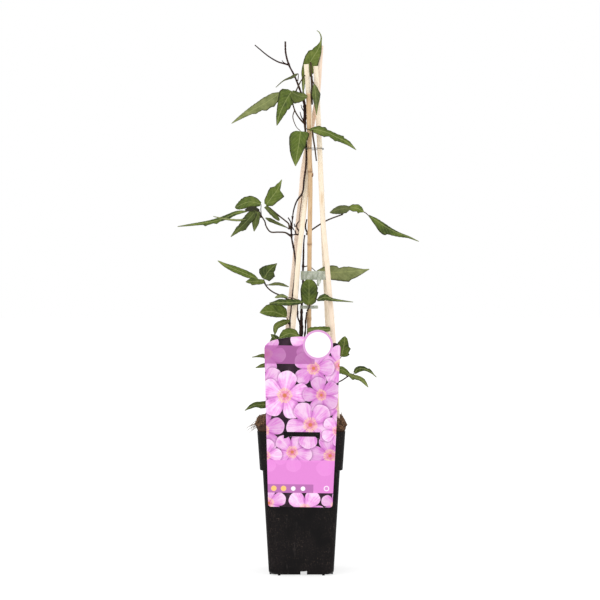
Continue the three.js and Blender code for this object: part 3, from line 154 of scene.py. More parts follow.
def endFinish(paint, tone, relief, depth, strength=1.0, polish=None, low=0.3, high=0.62):
    # colour, relief of a depth in millimetres, and roughness from low to high by polish if given
    tree = paint.node_tree
    shader = tree.nodes["Principled BSDF"]
    values = {"Height": relief, "Distance": depth * mm, "Strength": strength}
    tree.links.new(put(tree, "ShaderNodeBump", values).outputs[0], shader.inputs["Normal"])
    tree.links.new(tone, shader.inputs["Base Color"])
    if polish is not None:
        values = {"Value": polish, "To Min": low, "To Max": high}
        rough = put(tree, "ShaderNodeMapRange", values).outputs[0]
        tree.links.new(rough, shader.inputs["Roughness"])
    return paint


def partsOf(vector):
    return put(vector.id_data, "ShaderNodeSeparateXYZ", {0: vector}).outputs


def objectPlace(tree, stretch=(1, 1, 1)):
    place = put(tree, "ShaderNodeTexCoord").outputs["Object"]
    return put(tree, "ShaderNodeMapping", {"Vector": place, "Scale": stretch}).outputs[0]


def grainOf(place, size, detail=3, rough=0.55):
    # noise whose lumps are about size millimetres
    values = {"Vector": place, "Scale": 1 / (size * mm), "Detail": detail, "Roughness": rough}
    return put(place.id_data, "ShaderNodeTexNoise", values).outputs["Fac"]


def rampOf(factor, stops):
    ramp = put(factor.id_data, "ShaderNodeValToRGB", {"Fac": factor})
    elements = ramp.color_ramp.elements
    while len(elements) < len(stops):
        elements.new(0.5)
    for element, (position, tone) in zip(elements, stops):
        element.position = position
        element.color = shade(*tone)
    return ramp.outputs["Color"]


def mixOf(factor, first, second):
    values = {0: factor, 6: first, 7: second}
    return put(factor.id_data, "ShaderNodeMix", values, data_type="RGBA").outputs[2]


def mathOf(kind, *terms):
    tree = next(term for term in terms if isinstance(term, bpy.types.NodeSocket)).id_data
    return put(tree, "ShaderNodeMath", dict(enumerate(terms)), operation=kind).outputs[0]


def plus(first, second):
    return mathOf("ADD", first, second)


def less(first, second):
    return mathOf("SUBTRACT", first, second)


def times(first, second):
    return mathOf("MULTIPLY", first, second)


def absolute(value):
    return mathOf("ABSOLUTE", value)


def bandOf(value, low, high):
    # 0 below low, 1 above high, smooth between them
    values = {"Value": value, "From Min": low, "From Max": high}
    return put(value.id_data, "ShaderNodeMapRange", values,
               interpolation_type="SMOOTHSTEP").outputs[0]


def attributeOf(tree, name):
    return put(tree, "ShaderNodeAttribute", attribute_name=name).outputs["Fac"]


leafTones = {
    "upperDark": (50, 64, 26), "upper": (88, 104, 40), "upperPale": (122, 132, 64),
    "underDark": (102, 110, 64), "under": (142, 147, 98), "edge": (40, 34, 20),
    # "deep" is the painted shade that blades lying in shadow take
    "vein": (156, 164, 102), "deep": (50, 50, 32),
    # veins in centimetres, patches and clouds in millimetres
    "veinStep": 0.55, "veinSlant": 1.15, "veinCover": 0.55, "sideVein": 0.6, "patch": 9,
    "cloud": 24, "fine": 0.7, "rimStart": 0.76, "rimCover": 0.85,
}


def leafFinish():
    # map "blade": along the rib and across it, in centimetres; "edge" is 0 at the rib, 1 outside
    tones = leafTones
    paint, tree = startFinish("leafBlade", 0.5, 0.2)
    parts = partsOf(put(tree, "ShaderNodeUVMap", uv_map="blade").outputs[0])
    across = absolute(parts["Y"])
    phase = less(parts["X"], times(across, tones["veinSlant"]))
    turn = mathOf("FRACT", mathOf("DIVIDE", phase, tones["veinStep"]))
    side = bandOf(absolute(less(turn, 0.5)), 0.1, 0.0)
    middle = bandOf(across, 0.07, 0.02)
    veins = mathOf("MAXIMUM", times(side, tones["sideVein"]), middle)
    place = objectPlace(tree)
    patches = grainOf(place, tones["patch"])
    cloud = times(less(grainOf(place, tones["cloud"]), 0.5), 0.7)
    blend = plus(plus(times(patches, 0.8), attributeOf(tree, "tint")), cloud)
    upper = rampOf(blend, [(0.22, tones["upperDark"]), (0.5, tones["upper"]),
                           (0.85, tones["upperPale"])])
    upper = mixOf(times(veins, tones["veinCover"]), upper, tones["vein"])
    under = rampOf(patches, [(0.3, tones["underDark"]), (0.7, tones["under"])])
    under = mixOf(times(veins, tones["veinCover"]), under, tones["vein"])
    tone = mixOf(attributeOf(tree, "under"), upper, under)
    rim = bandOf(attributeOf(tree, "edge"), tones["rimStart"], 1.0)
    tone = mixOf(times(rim, tones["rimCover"]), tone, tones["edge"])
    # painted shade: a blade's "dark" share mixes it towards the deep, shaded green
    tone = mixOf(attributeOf(tree, "dark"), tone, tones["deep"])
    relief = less(times(grainOf(place, tones["fine"], 2), 0.35), veins)
    return endFinish(paint, tone, relief, 0.25, 0.7, patches, 0.4)


def stemFinish(name, dark, pale):
    paint, tree = startFinish(name, 0.6, 0.15)
    streaks = grainOf(objectPlace(tree, (1, 1, 0.12)), 0.8)
    blotches = grainOf(objectPlace(tree), 14)
    blend = times(plus(streaks, blotches), 0.5)
    return endFinish(paint, rampOf(blend, [(0.36, dark), (0.66, pale)]), streaks, 0.25)


def splitBambooFinish():
    paint, tree = startFinish("splitBamboo", 0.55, 0.35)
    fibres = grainOf(objectPlace(tree, (1, 1, 0.02)), 0.5, 4, 0.7)
    bands = grainOf(objectPlace(tree, (1, 1, 0.15)), 9)
    cream = rampOf(fibres, [(0.3, (226, 206, 176)), (0.55, (246, 233, 208)),
                            (0.8, (253, 246, 230))])
    pink = rampOf(fibres, [(0.3, (228, 200, 178)), (0.7, (250, 228, 210))])
    tone = mixOf(attributeOf(tree, "tint"), cream, pink)
    tone = mixOf(bandOf(bands, 0.62, 0.8), tone, (206, 172, 130))
    return endFinish(paint, tone, fibres, 0.2)


def caneFinish():
    # "joint" is 1 on a node ring and 0 between them, "cut" is 1 on the sawn end
    paint, tree = startFinish("caneSkin", 0.42)
    streaks = grainOf(objectPlace(tree, (1, 1, 0.03)), 0.7, 4, 0.65)
    blotches = grainOf(objectPlace(tree, (1, 1, 0.3)), 7)
    tone = rampOf(streaks, [(0.28, (158, 118, 80)), (0.5, (206, 172, 130)),
                            (0.8, (228, 200, 160))])
    tone = mixOf(bandOf(blotches, 0.55, 0.75), tone, (164, 124, 84))
    tone = mixOf(attributeOf(tree, "joint"), tone, (120, 84, 56))
    tone = mixOf(attributeOf(tree, "cut"), tone, (232, 208, 170))
    return endFinish(paint, tone, streaks, 0.15)


def potFinish():
    paint, tree = startFinish("potPlastic", 0.4, 0.12)
    place = objectPlace(tree)
    cloud = grainOf(place, 26)
    specks = grainOf(place, 1.1, 2, 0.8)
    scuffs = grainOf(objectPlace(tree, (1, 1, 0.2)), 5, 4, 0.7)
    tone = rampOf(cloud, [(0.35, (15, 12, 13)), (0.7, (24, 20, 21))])
    dust = times(bandOf(specks, 0.6, 0.72), bandOf(cloud, 0.35, 0.6))
    tone = mixOf(times(dust, 0.5), tone, (120, 104, 92))
    tone = mixOf(times(bandOf(scuffs, 0.6, 0.8), 0.22), tone, (96, 88, 86))
    return endFinish(paint, tone, grainOf(place, 0.8, 2), 0.06, polish=scuffs)


def soilFinish(name, dark, pale):
    paint, tree = startFinish(name, 0.92, 0.25)
    lumps = grainOf(objectPlace(tree), 3.2, 5, 0.7)
    return endFinish(paint, rampOf(lumps, [(0.3, dark), (0.72, pale)]), lumps, 1.6)


def wireFinish():
    paint, tree = startFinish("tieWire", 0.45)
    wear = grainOf(objectPlace(tree), 2.5)
    tone = rampOf(wear, [(0.4, (14, 26, 20)), (0.75, (34, 48, 38))])
    return endFinish(paint, tone, wear, 0.1)


def tapeFinish():
    clear = [("Transmission Weight", 0.4), ("Coat Weight", 0.6), ("IOR", 1.3)]
    paint, tree = startFinish("tieTape", 0.16, more=clear)
    foldsAndHighlights = grainOf(objectPlace(tree, (1, 1, 0.35)), 3, 3)
    # the folds' noise gives the relief; in the colour its palest stop is a painted highlight
    # streaking along the folds
    tone = rampOf(foldsAndHighlights, [(0.3, (168, 176, 156)), (0.6, (214, 220, 204)), (0.74, (246, 248, 242))])
    return endFinish(paint, tone, foldsAndHighlights, 0.5)


# The label's print: rosettes of five notched petals, panels and dots, all drawn from numbers.
# Centres and sizes are on the card, in centimetres from the fold over the rim.

printSizes = {
    "ground": (34, 22, 31), "groundPale": (66, 48, 60), "petal": (232, 150, 222),
    "petalPale": (250, 216, 242), "petalDeep": (178, 94, 172), "petalShade": (126, 62, 124),
    "heart": (206, 120, 84), "thread": (226, 130, 120), "tip": (246, 206, 150),
    "back": (244, 232, 242),
    "petals": 5, "gapDepth": 0.42, "point": 0.05, "threads": 13, "softEdge": 0.04,
}
# x, z, radius, turn in degrees, tint
blossoms = [
    (4.6, 8.3, 2.5, 12, 0.5), (-4.4, 9.6, 2.4, 40, 0.8), (0.8, 11.2, 2.3, 8, 0.2),
    (-4.9, 5.6, 2.9, 66, 0.6), (1.4, 7.9, 2.6, 33, 0.7), (4.9, 3.4, 2.8, 58, 0.3),
    (-4.8, 0.2, 2.8, 20, 0.9), (3.6, -2.9, 2.7, 5, 0.8), (-1.1, -2.5, 2.5, 47, 0.5),
    (-4.4, -3.0, 2.1, 30, 0.2), (-2.1, 4.5, 3.1, 26, 0.05), (2.4, 4.6, 2.3, 2, 0.9),
    (1.1, 0.9, 3.0, 61, 0.45), (4.4, 0.2, 2.0, 44, 0.1), (-3.9, -8.9, 2.2, 15, 0.4),
    (0.6, -9.7, 2.6, 50, 0.1), (4.3, -9.2, 1.9, 33, 0.7),
]


def roundPlace(where, across, up, radius):
    # how far a spot on the card is from a centre, as a share of the radius, and in which direction
    spot = partsOf(where)
    x, z = less(spot["X"], across), less(spot["Y"], up)
    apart = put(where.id_data, "ShaderNodeCombineXYZ", {0: x, 1: z}).outputs[0]
    far = put(where.id_data, "ShaderNodeVectorMath", {0: apart}, operation="LENGTH")
    return mathOf("DIVIDE", far.outputs["Value"], radius), mathOf("ARCTAN2", z, x)


def petalSide(angle):
    # 0 along the middle of a petal, 1 between two of them
    turn = mathOf("FRACT", times(angle, printSizes["petals"] / math.tau))
    return absolute(less(times(turn, 2.0), 1.0))


def petalMargin(reach, side):
    # how far inside its outline a spot is: a broad petal, faintly pointed in the middle of its end
    narrow = times(mathOf("POWER", side, 4.0), printSizes["gapDepth"])
    point = times(bandOf(side, 0.5, 0.0), printSizes["point"])
    end = plus(less(1.0 - printSizes["point"], narrow), point)
    return less(end, reach)


def blossomGroup():
    # hands on the place within the topmost rosette as (share of the radius, angle, tint)
    tree = bpy.data.node_groups.new("blossomPrint", "ShaderNodeTree")
    socket(tree, "Place", "Vector")
    for label in ("Shadow", "Across", "Up", "Radius", "Turn", "Tint"):
        socket(tree, label, "Float")
    socket(tree, "Place", "Vector", "OUTPUT")
    socket(tree, "Shadow", "Float", "OUTPUT")
    given = put(tree, "NodeGroupInput").outputs
    where = put(tree, "ShaderNodeUVMap", uv_map="card").outputs[0]
    reach, angle = roundPlace(where, given["Across"], given["Up"], given["Radius"])
    angle = plus(angle, given["Turn"])
    inside = petalMargin(reach, petalSide(angle))
    mask = mathOf("GREATER_THAN", inside, 0.0)
    own = put(tree, "ShaderNodeCombineXYZ", {0: reach, 1: angle, 2: given["Tint"]}).outputs[0]
    place = put(tree, "ShaderNodeMix", {0: mask, 4: given["Place"], 5: own}, data_type="VECTOR")
    cast = mathOf("MAXIMUM", given["Shadow"], bandOf(inside, -0.14, 0.0))
    out = put(tree, "NodeGroupOutput")
    tree.links.new(place.outputs[1], out.inputs[0])
    tree.links.new(times(cast, less(1.0, mask)), out.inputs[1])
    return tree


def petalTone(place, shadow, ground):
    sizes = printSizes
    tree = place.id_data
    reach, angle, tint = partsOf(place)
    side = petalSide(angle)
    values = {0: times(angle, 0.02), 1: times(reach, 0.0015), 2: tint}
    lengthwise = put(tree, "ShaderNodeCombineXYZ", values).outputs[0]
    pale = plus(grainOf(lengthwise, 1.6), grainOf(objectPlace(tree), 9))
    pale = less(pale, times(side, 0.3))
    blend = plus(times(pale, 0.62), times(reach, 0.18))
    petal = rampOf(blend, [(0.3, sizes["petalDeep"]), (0.55, sizes["petal"]),
                           (0.8, sizes["petalPale"])])
    petal = mixOf(times(tint, 0.5), petal, sizes["petalDeep"])
    petal = mixOf(times(bandOf(side, 0.78, 1.0), 0.7), petal, sizes["petalDeep"])
    margin = times(bandOf(petalMargin(reach, side), 0.09, 0.0), 0.2)
    petal = mixOf(margin, petal, sizes["petalPale"])
    drift = times(grainOf(objectPlace(tree), 3.2), 6.0)
    spread = absolute(mathOf("SINE", plus(times(angle, sizes["threads"]), drift)))
    threads = times(bandOf(spread, 0.45, 0.9), bandOf(reach, 0.3, 0.24))
    petal = mixOf(threads, petal, sizes["thread"])
    strayed = plus(reach, times(drift, 0.035))
    ring = bandOf(absolute(less(strayed, 0.35)), 0.08, 0.03)
    petal = mixOf(times(bandOf(spread, 0.6, 0.95), ring), petal, sizes["tip"])
    petal = mixOf(bandOf(reach, 0.12, 0.05), petal, sizes["heart"])
    petal = mixOf(times(shadow, 0.5), petal, sizes["petalShade"])
    return mixOf(mathOf("LESS_THAN", reach, 1.5), ground, petal)


def panelOn(spot, tone, panel, fill, cover):
    # a plain rectangle of the print, from left to right and foot to top
    left, right, foot, top = panel
    soft = printSizes["softEdge"]
    inside = times(bandOf(spot["X"], left, left + soft), bandOf(spot["X"], right, right - soft))
    inside = times(inside, bandOf(spot["Y"], foot, foot + soft))
    inside = times(inside, bandOf(spot["Y"], top, top - soft))
    return mixOf(times(inside, cover), tone, fill)


def discOn(where, tone, middle, radius, fill):
    far = roundPlace(where, *middle, 1.0)[0]
    return mixOf(bandOf(far, radius, radius - printSizes["softEdge"]), tone, fill)


# left, right, foot, top; colour; cover
panels = [((-4.7, 1.55, 8.4, 10.7), (172, 100, 160), 0.82),
          ((-4.3, 4.3, -7.6, -3.5), (228, 138, 214), 0.93),
          ((-4.1, 1.6, -7.6, -6.5), (172, 104, 164), 0.85)]
# middle, radius, colour
discs = [((1.9, 10.81), 1.86, (214, 156, 206)), ((1.9, 10.81), 1.6, (250, 246, 250)),
         ((-3.3, -7.05), 0.36, (246, 196, 120)), ((-2.1, -7.05), 0.36, (246, 196, 120)),
         ((-0.9, -7.05), 0.3, (248, 240, 248)), ((0.3, -7.05), 0.3, (248, 240, 248)),
         ((3.2, -7.0), 0.36, (244, 224, 242)), ((3.2, -7.0), 0.24, (214, 140, 204))]


def labelFinish():
    # map "card": centimetres on the card; "front" is 1 on the printed face
    paint, tree = startFinish("labelPrint", 0.35, 0.12, more=[("Coat Weight", 0.03)])
    where = put(tree, "ShaderNodeUVMap", uv_map="card").outputs[0]
    spot = partsOf(where)
    smudge = grainOf(objectPlace(tree), 12)
    tone = rampOf(smudge, [(0.4, printSizes["ground"]), (0.75, printSizes["groundPale"])])
    group = blossomGroup()
    place, shadow = (9, 0, 0), 0.0
    for across, up, radius, turn, tint in blossoms:
        values = {"Across": across, "Up": up, "Radius": radius, "Turn": math.radians(turn),
                  "Tint": tint, "Place": place, "Shadow": shadow}
        place, shadow = put(tree, "ShaderNodeGroup", values, node_tree=group).outputs[:2]
    tone = petalTone(place, shadow, tone)
    for panel, fill, cover in panels:
        tone = panelOn(spot, tone, panel, fill, cover)
    for middle, radius, fill in discs:
        tone = discOn(where, tone, middle, radius, fill)
    tone = mixOf(attributeOf(tree, "front"), printSizes["back"], tone)
    return endFinish(paint, tone, grainOf(objectPlace(tree), 18), 0.4, 0.4)


finishes = {
    "leaf": leafFinish(),
    "stalk": stemFinish("leafStalk", (44, 32, 26), (84, 68, 48)),
    "stem": stemFinish("plantStem", (30, 18, 18), (66, 44, 36)),
    "stake": splitBambooFinish(),
    "cane": caneFinish(),
    "pot": potFinish(),
    "soil": soilFinish("pottingSoil", (26, 18, 15), (86, 62, 48)),
    "crumb": soilFinish("soilCrumb", (36, 24, 19), (148, 112, 84)),
    "fibre": soilFinish("rootFibre", (74, 50, 36), (162, 126, 94)),
    "wire": wireFinish(),
    "tape": tapeFinish(),
    "label": labelFinish(),
}
print("finishes made:", len(finishes))


# Shape helpers

def smoothPath(points, count):
    # a centripetal Catmull-Rom curve through the points, as the solids follow, at even steps
    knots = np.array(points, float)
    knots = np.vstack([2 * knots[0] - knots[1], knots, 2 * knots[-1] - knots[-2]])
    fine = []
    for span in range(1, len(knots) - 2):
        before, start, end, after = knots[span - 1:span + 3]
        gaps = [max(np.linalg.norm(b - a) ** 0.5, 1e-4)
                for a, b in ((before, start), (start, end), (end, after))]
        leave = ((start - before) / gaps[0] - (end - before) / (gaps[0] + gaps[1])
                 + (end - start) / gaps[1]) * gaps[1]
        arrive = ((end - start) / gaps[1] - (after - start) / (gaps[1] + gaps[2])
                  + (after - end) / gaps[2]) * gaps[1]
        for t in np.linspace(0, 1, 24, endpoint=span == len(knots) - 3):
            t2, t3 = t * t, t * t * t
            fine.append((2 * t3 - 3 * t2 + 1) * start + (t3 - 2 * t2 + t) * leave
                        + (-2 * t3 + 3 * t2) * end + (t3 - t2) * arrive)
    fine = np.array(fine)
    walked = np.concatenate([[0], np.cumsum(np.linalg.norm(np.diff(fine, axis=0), axis=1))])
    marks = np.linspace(0, walked[-1], count)
    return np.stack([np.interp(marks, walked, fine[:, axis]) for axis in range(3)], 1)


def pathLength(path):
    return float(np.linalg.norm(np.diff(path, axis=0), axis=1).sum())


def unit(row):
    return row / max(np.linalg.norm(row), 1e-9)


def headings(path):
    steps = np.gradient(path, axis=0)
    return np.array([unit(step) for step in steps])


def makeObject(name, mesh, finish=None, smooth=True):
    piece = show(bpy.data.objects.new(name, mesh))
    if finish is not None:
        mesh.materials.append(finish)
    if smooth:
        mesh.shade_smooth()
    return piece


def settle(piece, slot, *replaced):
    # the piece rides on the plant's one body and stands for the solids that it replaces
    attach(piece, "root")
    if replaced:
        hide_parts(*replaced)


def shellMesh(name, rings, closed=False):
    # a skin over rings of equal count, capped with a fan at both ends when it isn't closed
    count = len(rings[0])
    points = [tuple(point * mm) for ring in rings for point in ring]
    faces = []
    for ring in range(len(rings) if closed else len(rings) - 1):
        here, there = ring * count, (ring + 1) % len(rings) * count
        for corner in range(count):
            after = (corner + 1) % count
            faces.append((here + corner, here + after, there + after, there + corner))
    if not closed:
        last = (len(rings) - 1) * count
        faces.append(tuple(reversed(range(count))))
        faces.append(tuple(range(last, last + count)))
    mesh = bpy.data.meshes.new(name)
    mesh.from_pydata(points, [], faces)
    return mesh


def sweepRings(path, section, upward):
    # section(share) gives pairs across and out; out keeps towards the upward direction
    rings = []
    for row, (middle, ahead) in enumerate(zip(path, headings(path))):
        across = unit(np.cross(upward, ahead))
        out = np.cross(ahead, across)
        rings.append([middle + a * across + b * out for a, b in section(row / (len(path) - 1))])
    return rings


def floats(mesh, name, values, domain="POINT"):
    mesh.attributes.new(name, "FLOAT", domain).data.foreach_set("value", np.array(values, "f"))


# Geometry Nodes: a tree takes a mesh and its named inputs and ends in real, dressed geometry

def startTree(name, inputs):
    tree = bpy.data.node_groups.new(name, "GeometryNodeTree")
    for label, kind in [("Geometry", "Geometry")] + inputs + [("Finish", "Material")]:
        socket(tree, label, kind)
    socket(tree, "Geometry", "Geometry", "OUTPUT")
    return tree, put(tree, "NodeGroupInput").outputs


def endTree(geometry, finish):
    tree = geometry.id_data
    real = put(tree, "GeometryNodeRealizeInstances", {"Geometry": geometry})
    values = {"Geometry": real.outputs[0], "Material": finish}
    dressed = put(tree, "GeometryNodeSetMaterial", values)
    tree.links.new(dressed.outputs[0], put(tree, "NodeGroupOutput").inputs[0])
    return tree


# Twigs: a line with a thickness becomes a round closed tube

def twigTree():
    tree, given = startTree("twigTube", [("Sides", "Int")])
    line = put(tree, "GeometryNodeMeshToCurve", {"Mesh": given["Geometry"]})
    thick = put(tree, "GeometryNodeInputNamedAttribute", {"Name": "thickness"}, data_type="FLOAT")
    ring = put(tree, "GeometryNodeCurvePrimitiveCircle", {"Resolution": given["Sides"]})
    tube = put(tree, "GeometryNodeCurveToMesh",
               {"Curve": line.outputs[0], "Profile Curve": ring.outputs[0],
                "Scale": thick.outputs["Attribute"], "Fill Caps": True})
    return endTree(tube.outputs[0], given["Finish"])


def setInputs(modifier, values):
    for item in modifier.node_group.interface.items_tree:
        if item.item_type == "SOCKET" and item.in_out == "INPUT" and item.name in values:
            modifier[item.identifier] = values[item.name]


def plainMesh(holder):
    # the mesh that an object's modifiers give, in place of the object
    graph = bpy.context.evaluated_depsgraph_get()
    made = bpy.data.meshes.new_from_object(holder.evaluated_get(graph), depsgraph=graph)
    bpy.data.objects.remove(holder)
    return made


def bakeNodes(name, mesh, tree, values):
    # runs the tree on the mesh and gives its result as a plain mesh
    holder = show(bpy.data.objects.new(name + "Source", mesh))
    modifier = holder.modifiers.new(tree.name, "NODES")
    modifier.node_group = tree
    setInputs(modifier, values)
    bpy.context.view_layer.update()
    made = plainMesh(holder)
    made.name = name
    return made


twigNodes = twigTree()


def twigMesh(name, twigs, sides, finish):
    # twigs are (points in millimetres, radius at every point in millimetres)
    spots, edges, thickness, extra = [], [], [], {}
    for path, radii, *more in twigs:
        start = len(spots)
        spots += [tuple(point * mm) for point in path]
        edges += [(start + step, start + step + 1) for step in range(len(path) - 1)]
        thickness += [radius * mm for radius in radii]
        for label, values in (more[0] if more else {}).items():
            extra.setdefault(label, []).extend(values)
    mesh = bpy.data.meshes.new(name + "Lines")
    mesh.from_pydata(spots, edges, [])
    floats(mesh, "thickness", thickness)
    for label, values in extra.items():
        floats(mesh, label, values)
    made = bakeNodes(name, mesh, twigNodes, {"Sides": sides, "Finish": finish})
    made.shade_smooth()
    return made


def joinMeshes(name, meshes):
    # one object from several, keeping their finishes and attributes
    parts = [makeObject(name + "Part", mesh, smooth=False) for mesh in meshes]
    with bpy.context.temp_override(active_object=parts[0], selected_editable_objects=parts):
        bpy.ops.object.join()
    parts[0].name = name
    return parts[0]


# Pot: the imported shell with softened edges

potSizes = {"edge": 0.45, "steps": 2, "bevelFrom": 32, "sharp": 34}


def solidCopy(node):
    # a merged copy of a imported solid, which may then be reshaped
    mesh = nodes[node].data.copy()
    mesh.materials.clear()
    tool = bmesh.new()
    tool.from_mesh(mesh)
    bmesh.ops.remove_doubles(tool, verts=tool.verts, dist=1e-6)
    bmesh.ops.dissolve_limit(tool, angle_limit=math.radians(0.5), verts=tool.verts,
                             edges=tool.edges)
    tool.to_mesh(mesh)
    tool.free()
    return mesh


def makePot():
    pot = makeObject("potShell", solidCopy("pot"), finishes["pot"], smooth=False)
    bevel = pot.modifiers.new("softEdge", "BEVEL")
    bevel.width = potSizes["edge"] * mm
    bevel.segments = potSizes["steps"]
    bevel.limit_method = "ANGLE"
    bevel.angle_limit = math.radians(potSizes["bevelFrom"])
    bevel.use_clamp_overlap = True
    made = plainMesh(pot)
    pot = makeObject("potShell", made)
    made.set_sharp_from_angle(angle=math.radians(potSizes["sharp"]))
    settle(pot, "pot_plastic", "pot")


makePot()
print("pot done")


# Soil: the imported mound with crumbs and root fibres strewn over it

soilSizes = {
    "above": 178, "upward": 0.12, "crumbDensity": 240000, "crumb": 1.35, "fibreDensity": 26000,
    "fibre": 9, "seed": 4, "tuftRoots": 16, "tuftSteps": 12, "tuftRadius": (0.3, 0.12),
    "tuftStart": (-52, -22, 185), "tuftEnd": (-69, -24, 178), "tuftSpread": (3, 7, 4.2),
}


def strewTree(name, thing):
    # strews copies of thing(tree) over the upward faces above a height
    tree, given = startTree(name, [("Density", "Float"), ("Size", "Float"), ("Above", "Float"),
                                   ("Seed", "Int")])
    spot = partsOf(put(tree, "GeometryNodeInputPosition").outputs[0])
    facing = partsOf(put(tree, "GeometryNodeInputNormal").outputs[0])
    high = mathOf("GREATER_THAN", spot["Z"], given["Above"])
    upward = mathOf("GREATER_THAN", facing["Z"], soilSizes["upward"])
    chosen = times(high, upward)
    points = put(tree, "GeometryNodeDistributePointsOnFaces",
                 {"Mesh": given["Geometry"], "Selection": chosen, "Density": given["Density"],
                  "Seed": given["Seed"]})
    seed = given["Seed"]
    turn = put(tree, "FunctionNodeRandomValue", {"Max": [math.tau] * 3, "Seed": seed},
               data_type="FLOAT_VECTOR")
    swell = put(tree, "FunctionNodeRandomValue", {2: 0.35, 3: 1.0, "Seed": seed},
                data_type="FLOAT")
    size = times(plus(mathOf("POWER", swell.outputs[1], 2.4), 0.25), given["Size"])
    copies = put(tree, "GeometryNodeInstanceOnPoints",
                 {"Points": points.outputs["Points"], "Instance": thing(tree),
                  "Rotation": turn.outputs[0], "Scale": size})
    return endTree(copies.outputs[0], given["Finish"])


def crumbShape(tree):
    ball = put(tree, "GeometryNodeMeshIcoSphere", {"Radius": 1.0, "Subdivisions": 2})
    place = put(tree, "GeometryNodeInputPosition").outputs[0]
    lumps = put(tree, "ShaderNodeTexNoise", {"Vector": place, "Scale": 1.3, "Detail": 2.0})
    push = put(tree, "ShaderNodeVectorMath", {0: lumps.outputs["Color"], 1: (0.5, 0.5, 0.5)},
               operation="SUBTRACT")
    grown = put(tree, "ShaderNodeVectorMath", {0: push.outputs[0], "Scale": 1.6},
                operation="SCALE")
    values = {"Geometry": ball.outputs[0], "Offset": grown.outputs[0]}
    return put(tree, "GeometryNodeSetPosition", values).outputs[0]


def fibreShape(tree):
    values = {"Resolution": 6, "Start": (-0.5, 0, 0), "Middle": (0, 0.35, 0.12),
              "End": (0.5, 0, 0)}
    bow = put(tree, "GeometryNodeCurveQuadraticBezier", values)
    ring = put(tree, "GeometryNodeCurvePrimitiveCircle", {"Resolution": 4, "Radius": 0.022})
    values = {"Curve": bow.outputs[0], "Profile Curve": ring.outputs[0], "Fill Caps": True}
    return put(tree, "GeometryNodeCurveToMesh", values).outputs[0]


def makeSoil():
    sizes = soilSizes
    nodes["soil"].data.materials.clear()
    nodes["soil"].data.materials.append(finishes["soil"])
    kinds = [("soilCrumbs", crumbShape, "crumb"), ("soilFibres", fibreShape, "fibre")]
    for step, (name, thing, kind) in enumerate(kinds):
        values = {"Density": sizes[kind + "Density"], "Size": sizes[kind] * mm,
                  "Above": sizes["above"] * mm, "Seed": sizes["seed"] + step,
                  "Finish": finishes[kind]}
        made = bakeNodes(name, solidCopy("soil"), strewTree(name, thing), values)
        settle(makeObject(name, made), "potting_soil")


def makeTuft():
    # thin roots that hang out over the rim on the left
    sizes = soilSizes
    random = np.random.default_rng(sizes["seed"])
    start, end = np.array(sizes["tuftStart"], float), np.array(sizes["tuftEnd"], float)
    roots = []
    for _ in range(sizes["tuftRoots"]):
        aside = random.uniform(-1, 1, 3) * sizes["tuftSpread"]
        reach = random.uniform(0.45, 1.0)
        tip = start + (end - start) * reach + aside
        middle = (start + tip) / 2 + aside * 0.3 + (0, 0, random.uniform(1, 4))
        root = smoothPath([start + aside * 0.4, middle, tip], sizes["tuftSteps"])
        radii = np.linspace(*sizes["tuftRadius"], sizes["tuftSteps"])
        roots.append((root, radii * random.uniform(0.7, 1.3)))
    mesh = twigMesh("soilTuft", roots, 5, finishes["fibre"])
    settle(makeObject("soilTuft", mesh, smooth=False), "potting_soil")


makeSoil()
makeTuft()
print("soil done")


# Stakes: four strips of split bamboo, and one round cane

stakeSizes = {
    "width": 6.2, "thickness": 3.6, "rough": 0.22, "grain": 60, "steps": 150,
    "corners": [(1, -0.94), (1, 0.2), (0.86, 0.62), (0.55, 0.92), (0, 1), (-0.55, 0.92),
                (-0.86, 0.62), (-1, 0.2), (-1, -0.94), (-0.93, -1), (0.93, -1)],
    # how pink each stake is at these heights
    "tintHeights": (250, 420, 600),
    "stake_front_left": (0.35, 0.15, 0.05), "stake_back_left": (0.7, 0.9, 0.9),
    "stake_front_right": (0.75, 0.35, 0.1), "stake_back_right": (0.1, 0.4, 0.8),
}
stakePaths = {
    "stake_front_left": [
        (6.3, -6, 639), (8.8, -6, 604), (10.5, -5.4, 569), (10, -4.6, 534), (7.7, -3.6, 500),
        (5.2, -4.6, 473), (2.7, -8, 449), (-0.9, -12, 418), (-4.2, -15, 386), (-6.5, -18, 355),
        (-9.7, -21.5, 315), (-18.5, -30, 184), (-22, -35, 112)],
    "stake_back_left": [
        (25, 10.4, 665), (23.4, 10, 640), (21.6, 9.8, 613), (19.6, 9.6, 595), (14.5, 9.2, 568),
        (9.5, 9.2, 545), (5.4, 9.2, 525), (2.4, 10, 508), (-0.5, 11.6, 473), (-3.2, 13.4, 449),
        (-8.9, 17.6, 386), (-15, 21, 330), (-27, 28, 184), (-31.5, 31, 112)],
    "stake_front_right": [
        (18.2, -3, 637), (20.8, -3.6, 585), (23.3, -5.4, 533), (25.3, -9, 481), (27.9, -12.4, 434),
        (32.4, -15.8, 387), (35, -18, 355), (38.8, -21, 312), (45.4, -28, 184), (46, -30, 156)],
    "stake_back_right": [
        (20.4, 3.4, 600), (23.4, 5.2, 533), (26.9, 9.4, 456), (29.3, 12.6, 402), (31.6, 15.4, 355),
        (33.6, 18, 310), (38.8, 28, 184), (40.4, 31, 118)],
}


def makeStake(name, points):
    sizes = stakeSizes
    half, deep, tints = sizes["width"] / 2, sizes["thickness"] / 2, sizes[name]
    start = tints[-1] * 9 + len(name)

    def section(share):
        made = []
        for index, (a, b) in enumerate(sizes["corners"]):
            shake = noise.noise(Vector((index * 3.1, start, share * sizes["grain"])))
            grow = 1 + sizes["rough"] * shake / half
            made.append((a * half * grow, b * deep * grow))
        return made

    path = smoothPath(points, sizes["steps"])
    mesh = shellMesh(name, sweepRings(path, section, (0, -1, 0)))
    heights = [vertex.co.z / mm for vertex in mesh.vertices]
    floats(mesh, "tint", np.interp(heights, sizes["tintHeights"], tints))
    piece = makeObject(name.replace("_", ""), mesh, finishes["stake"])
    mesh.set_sharp_from_angle(angle=math.radians(40))
    settle(piece, "split_bamboo", name)


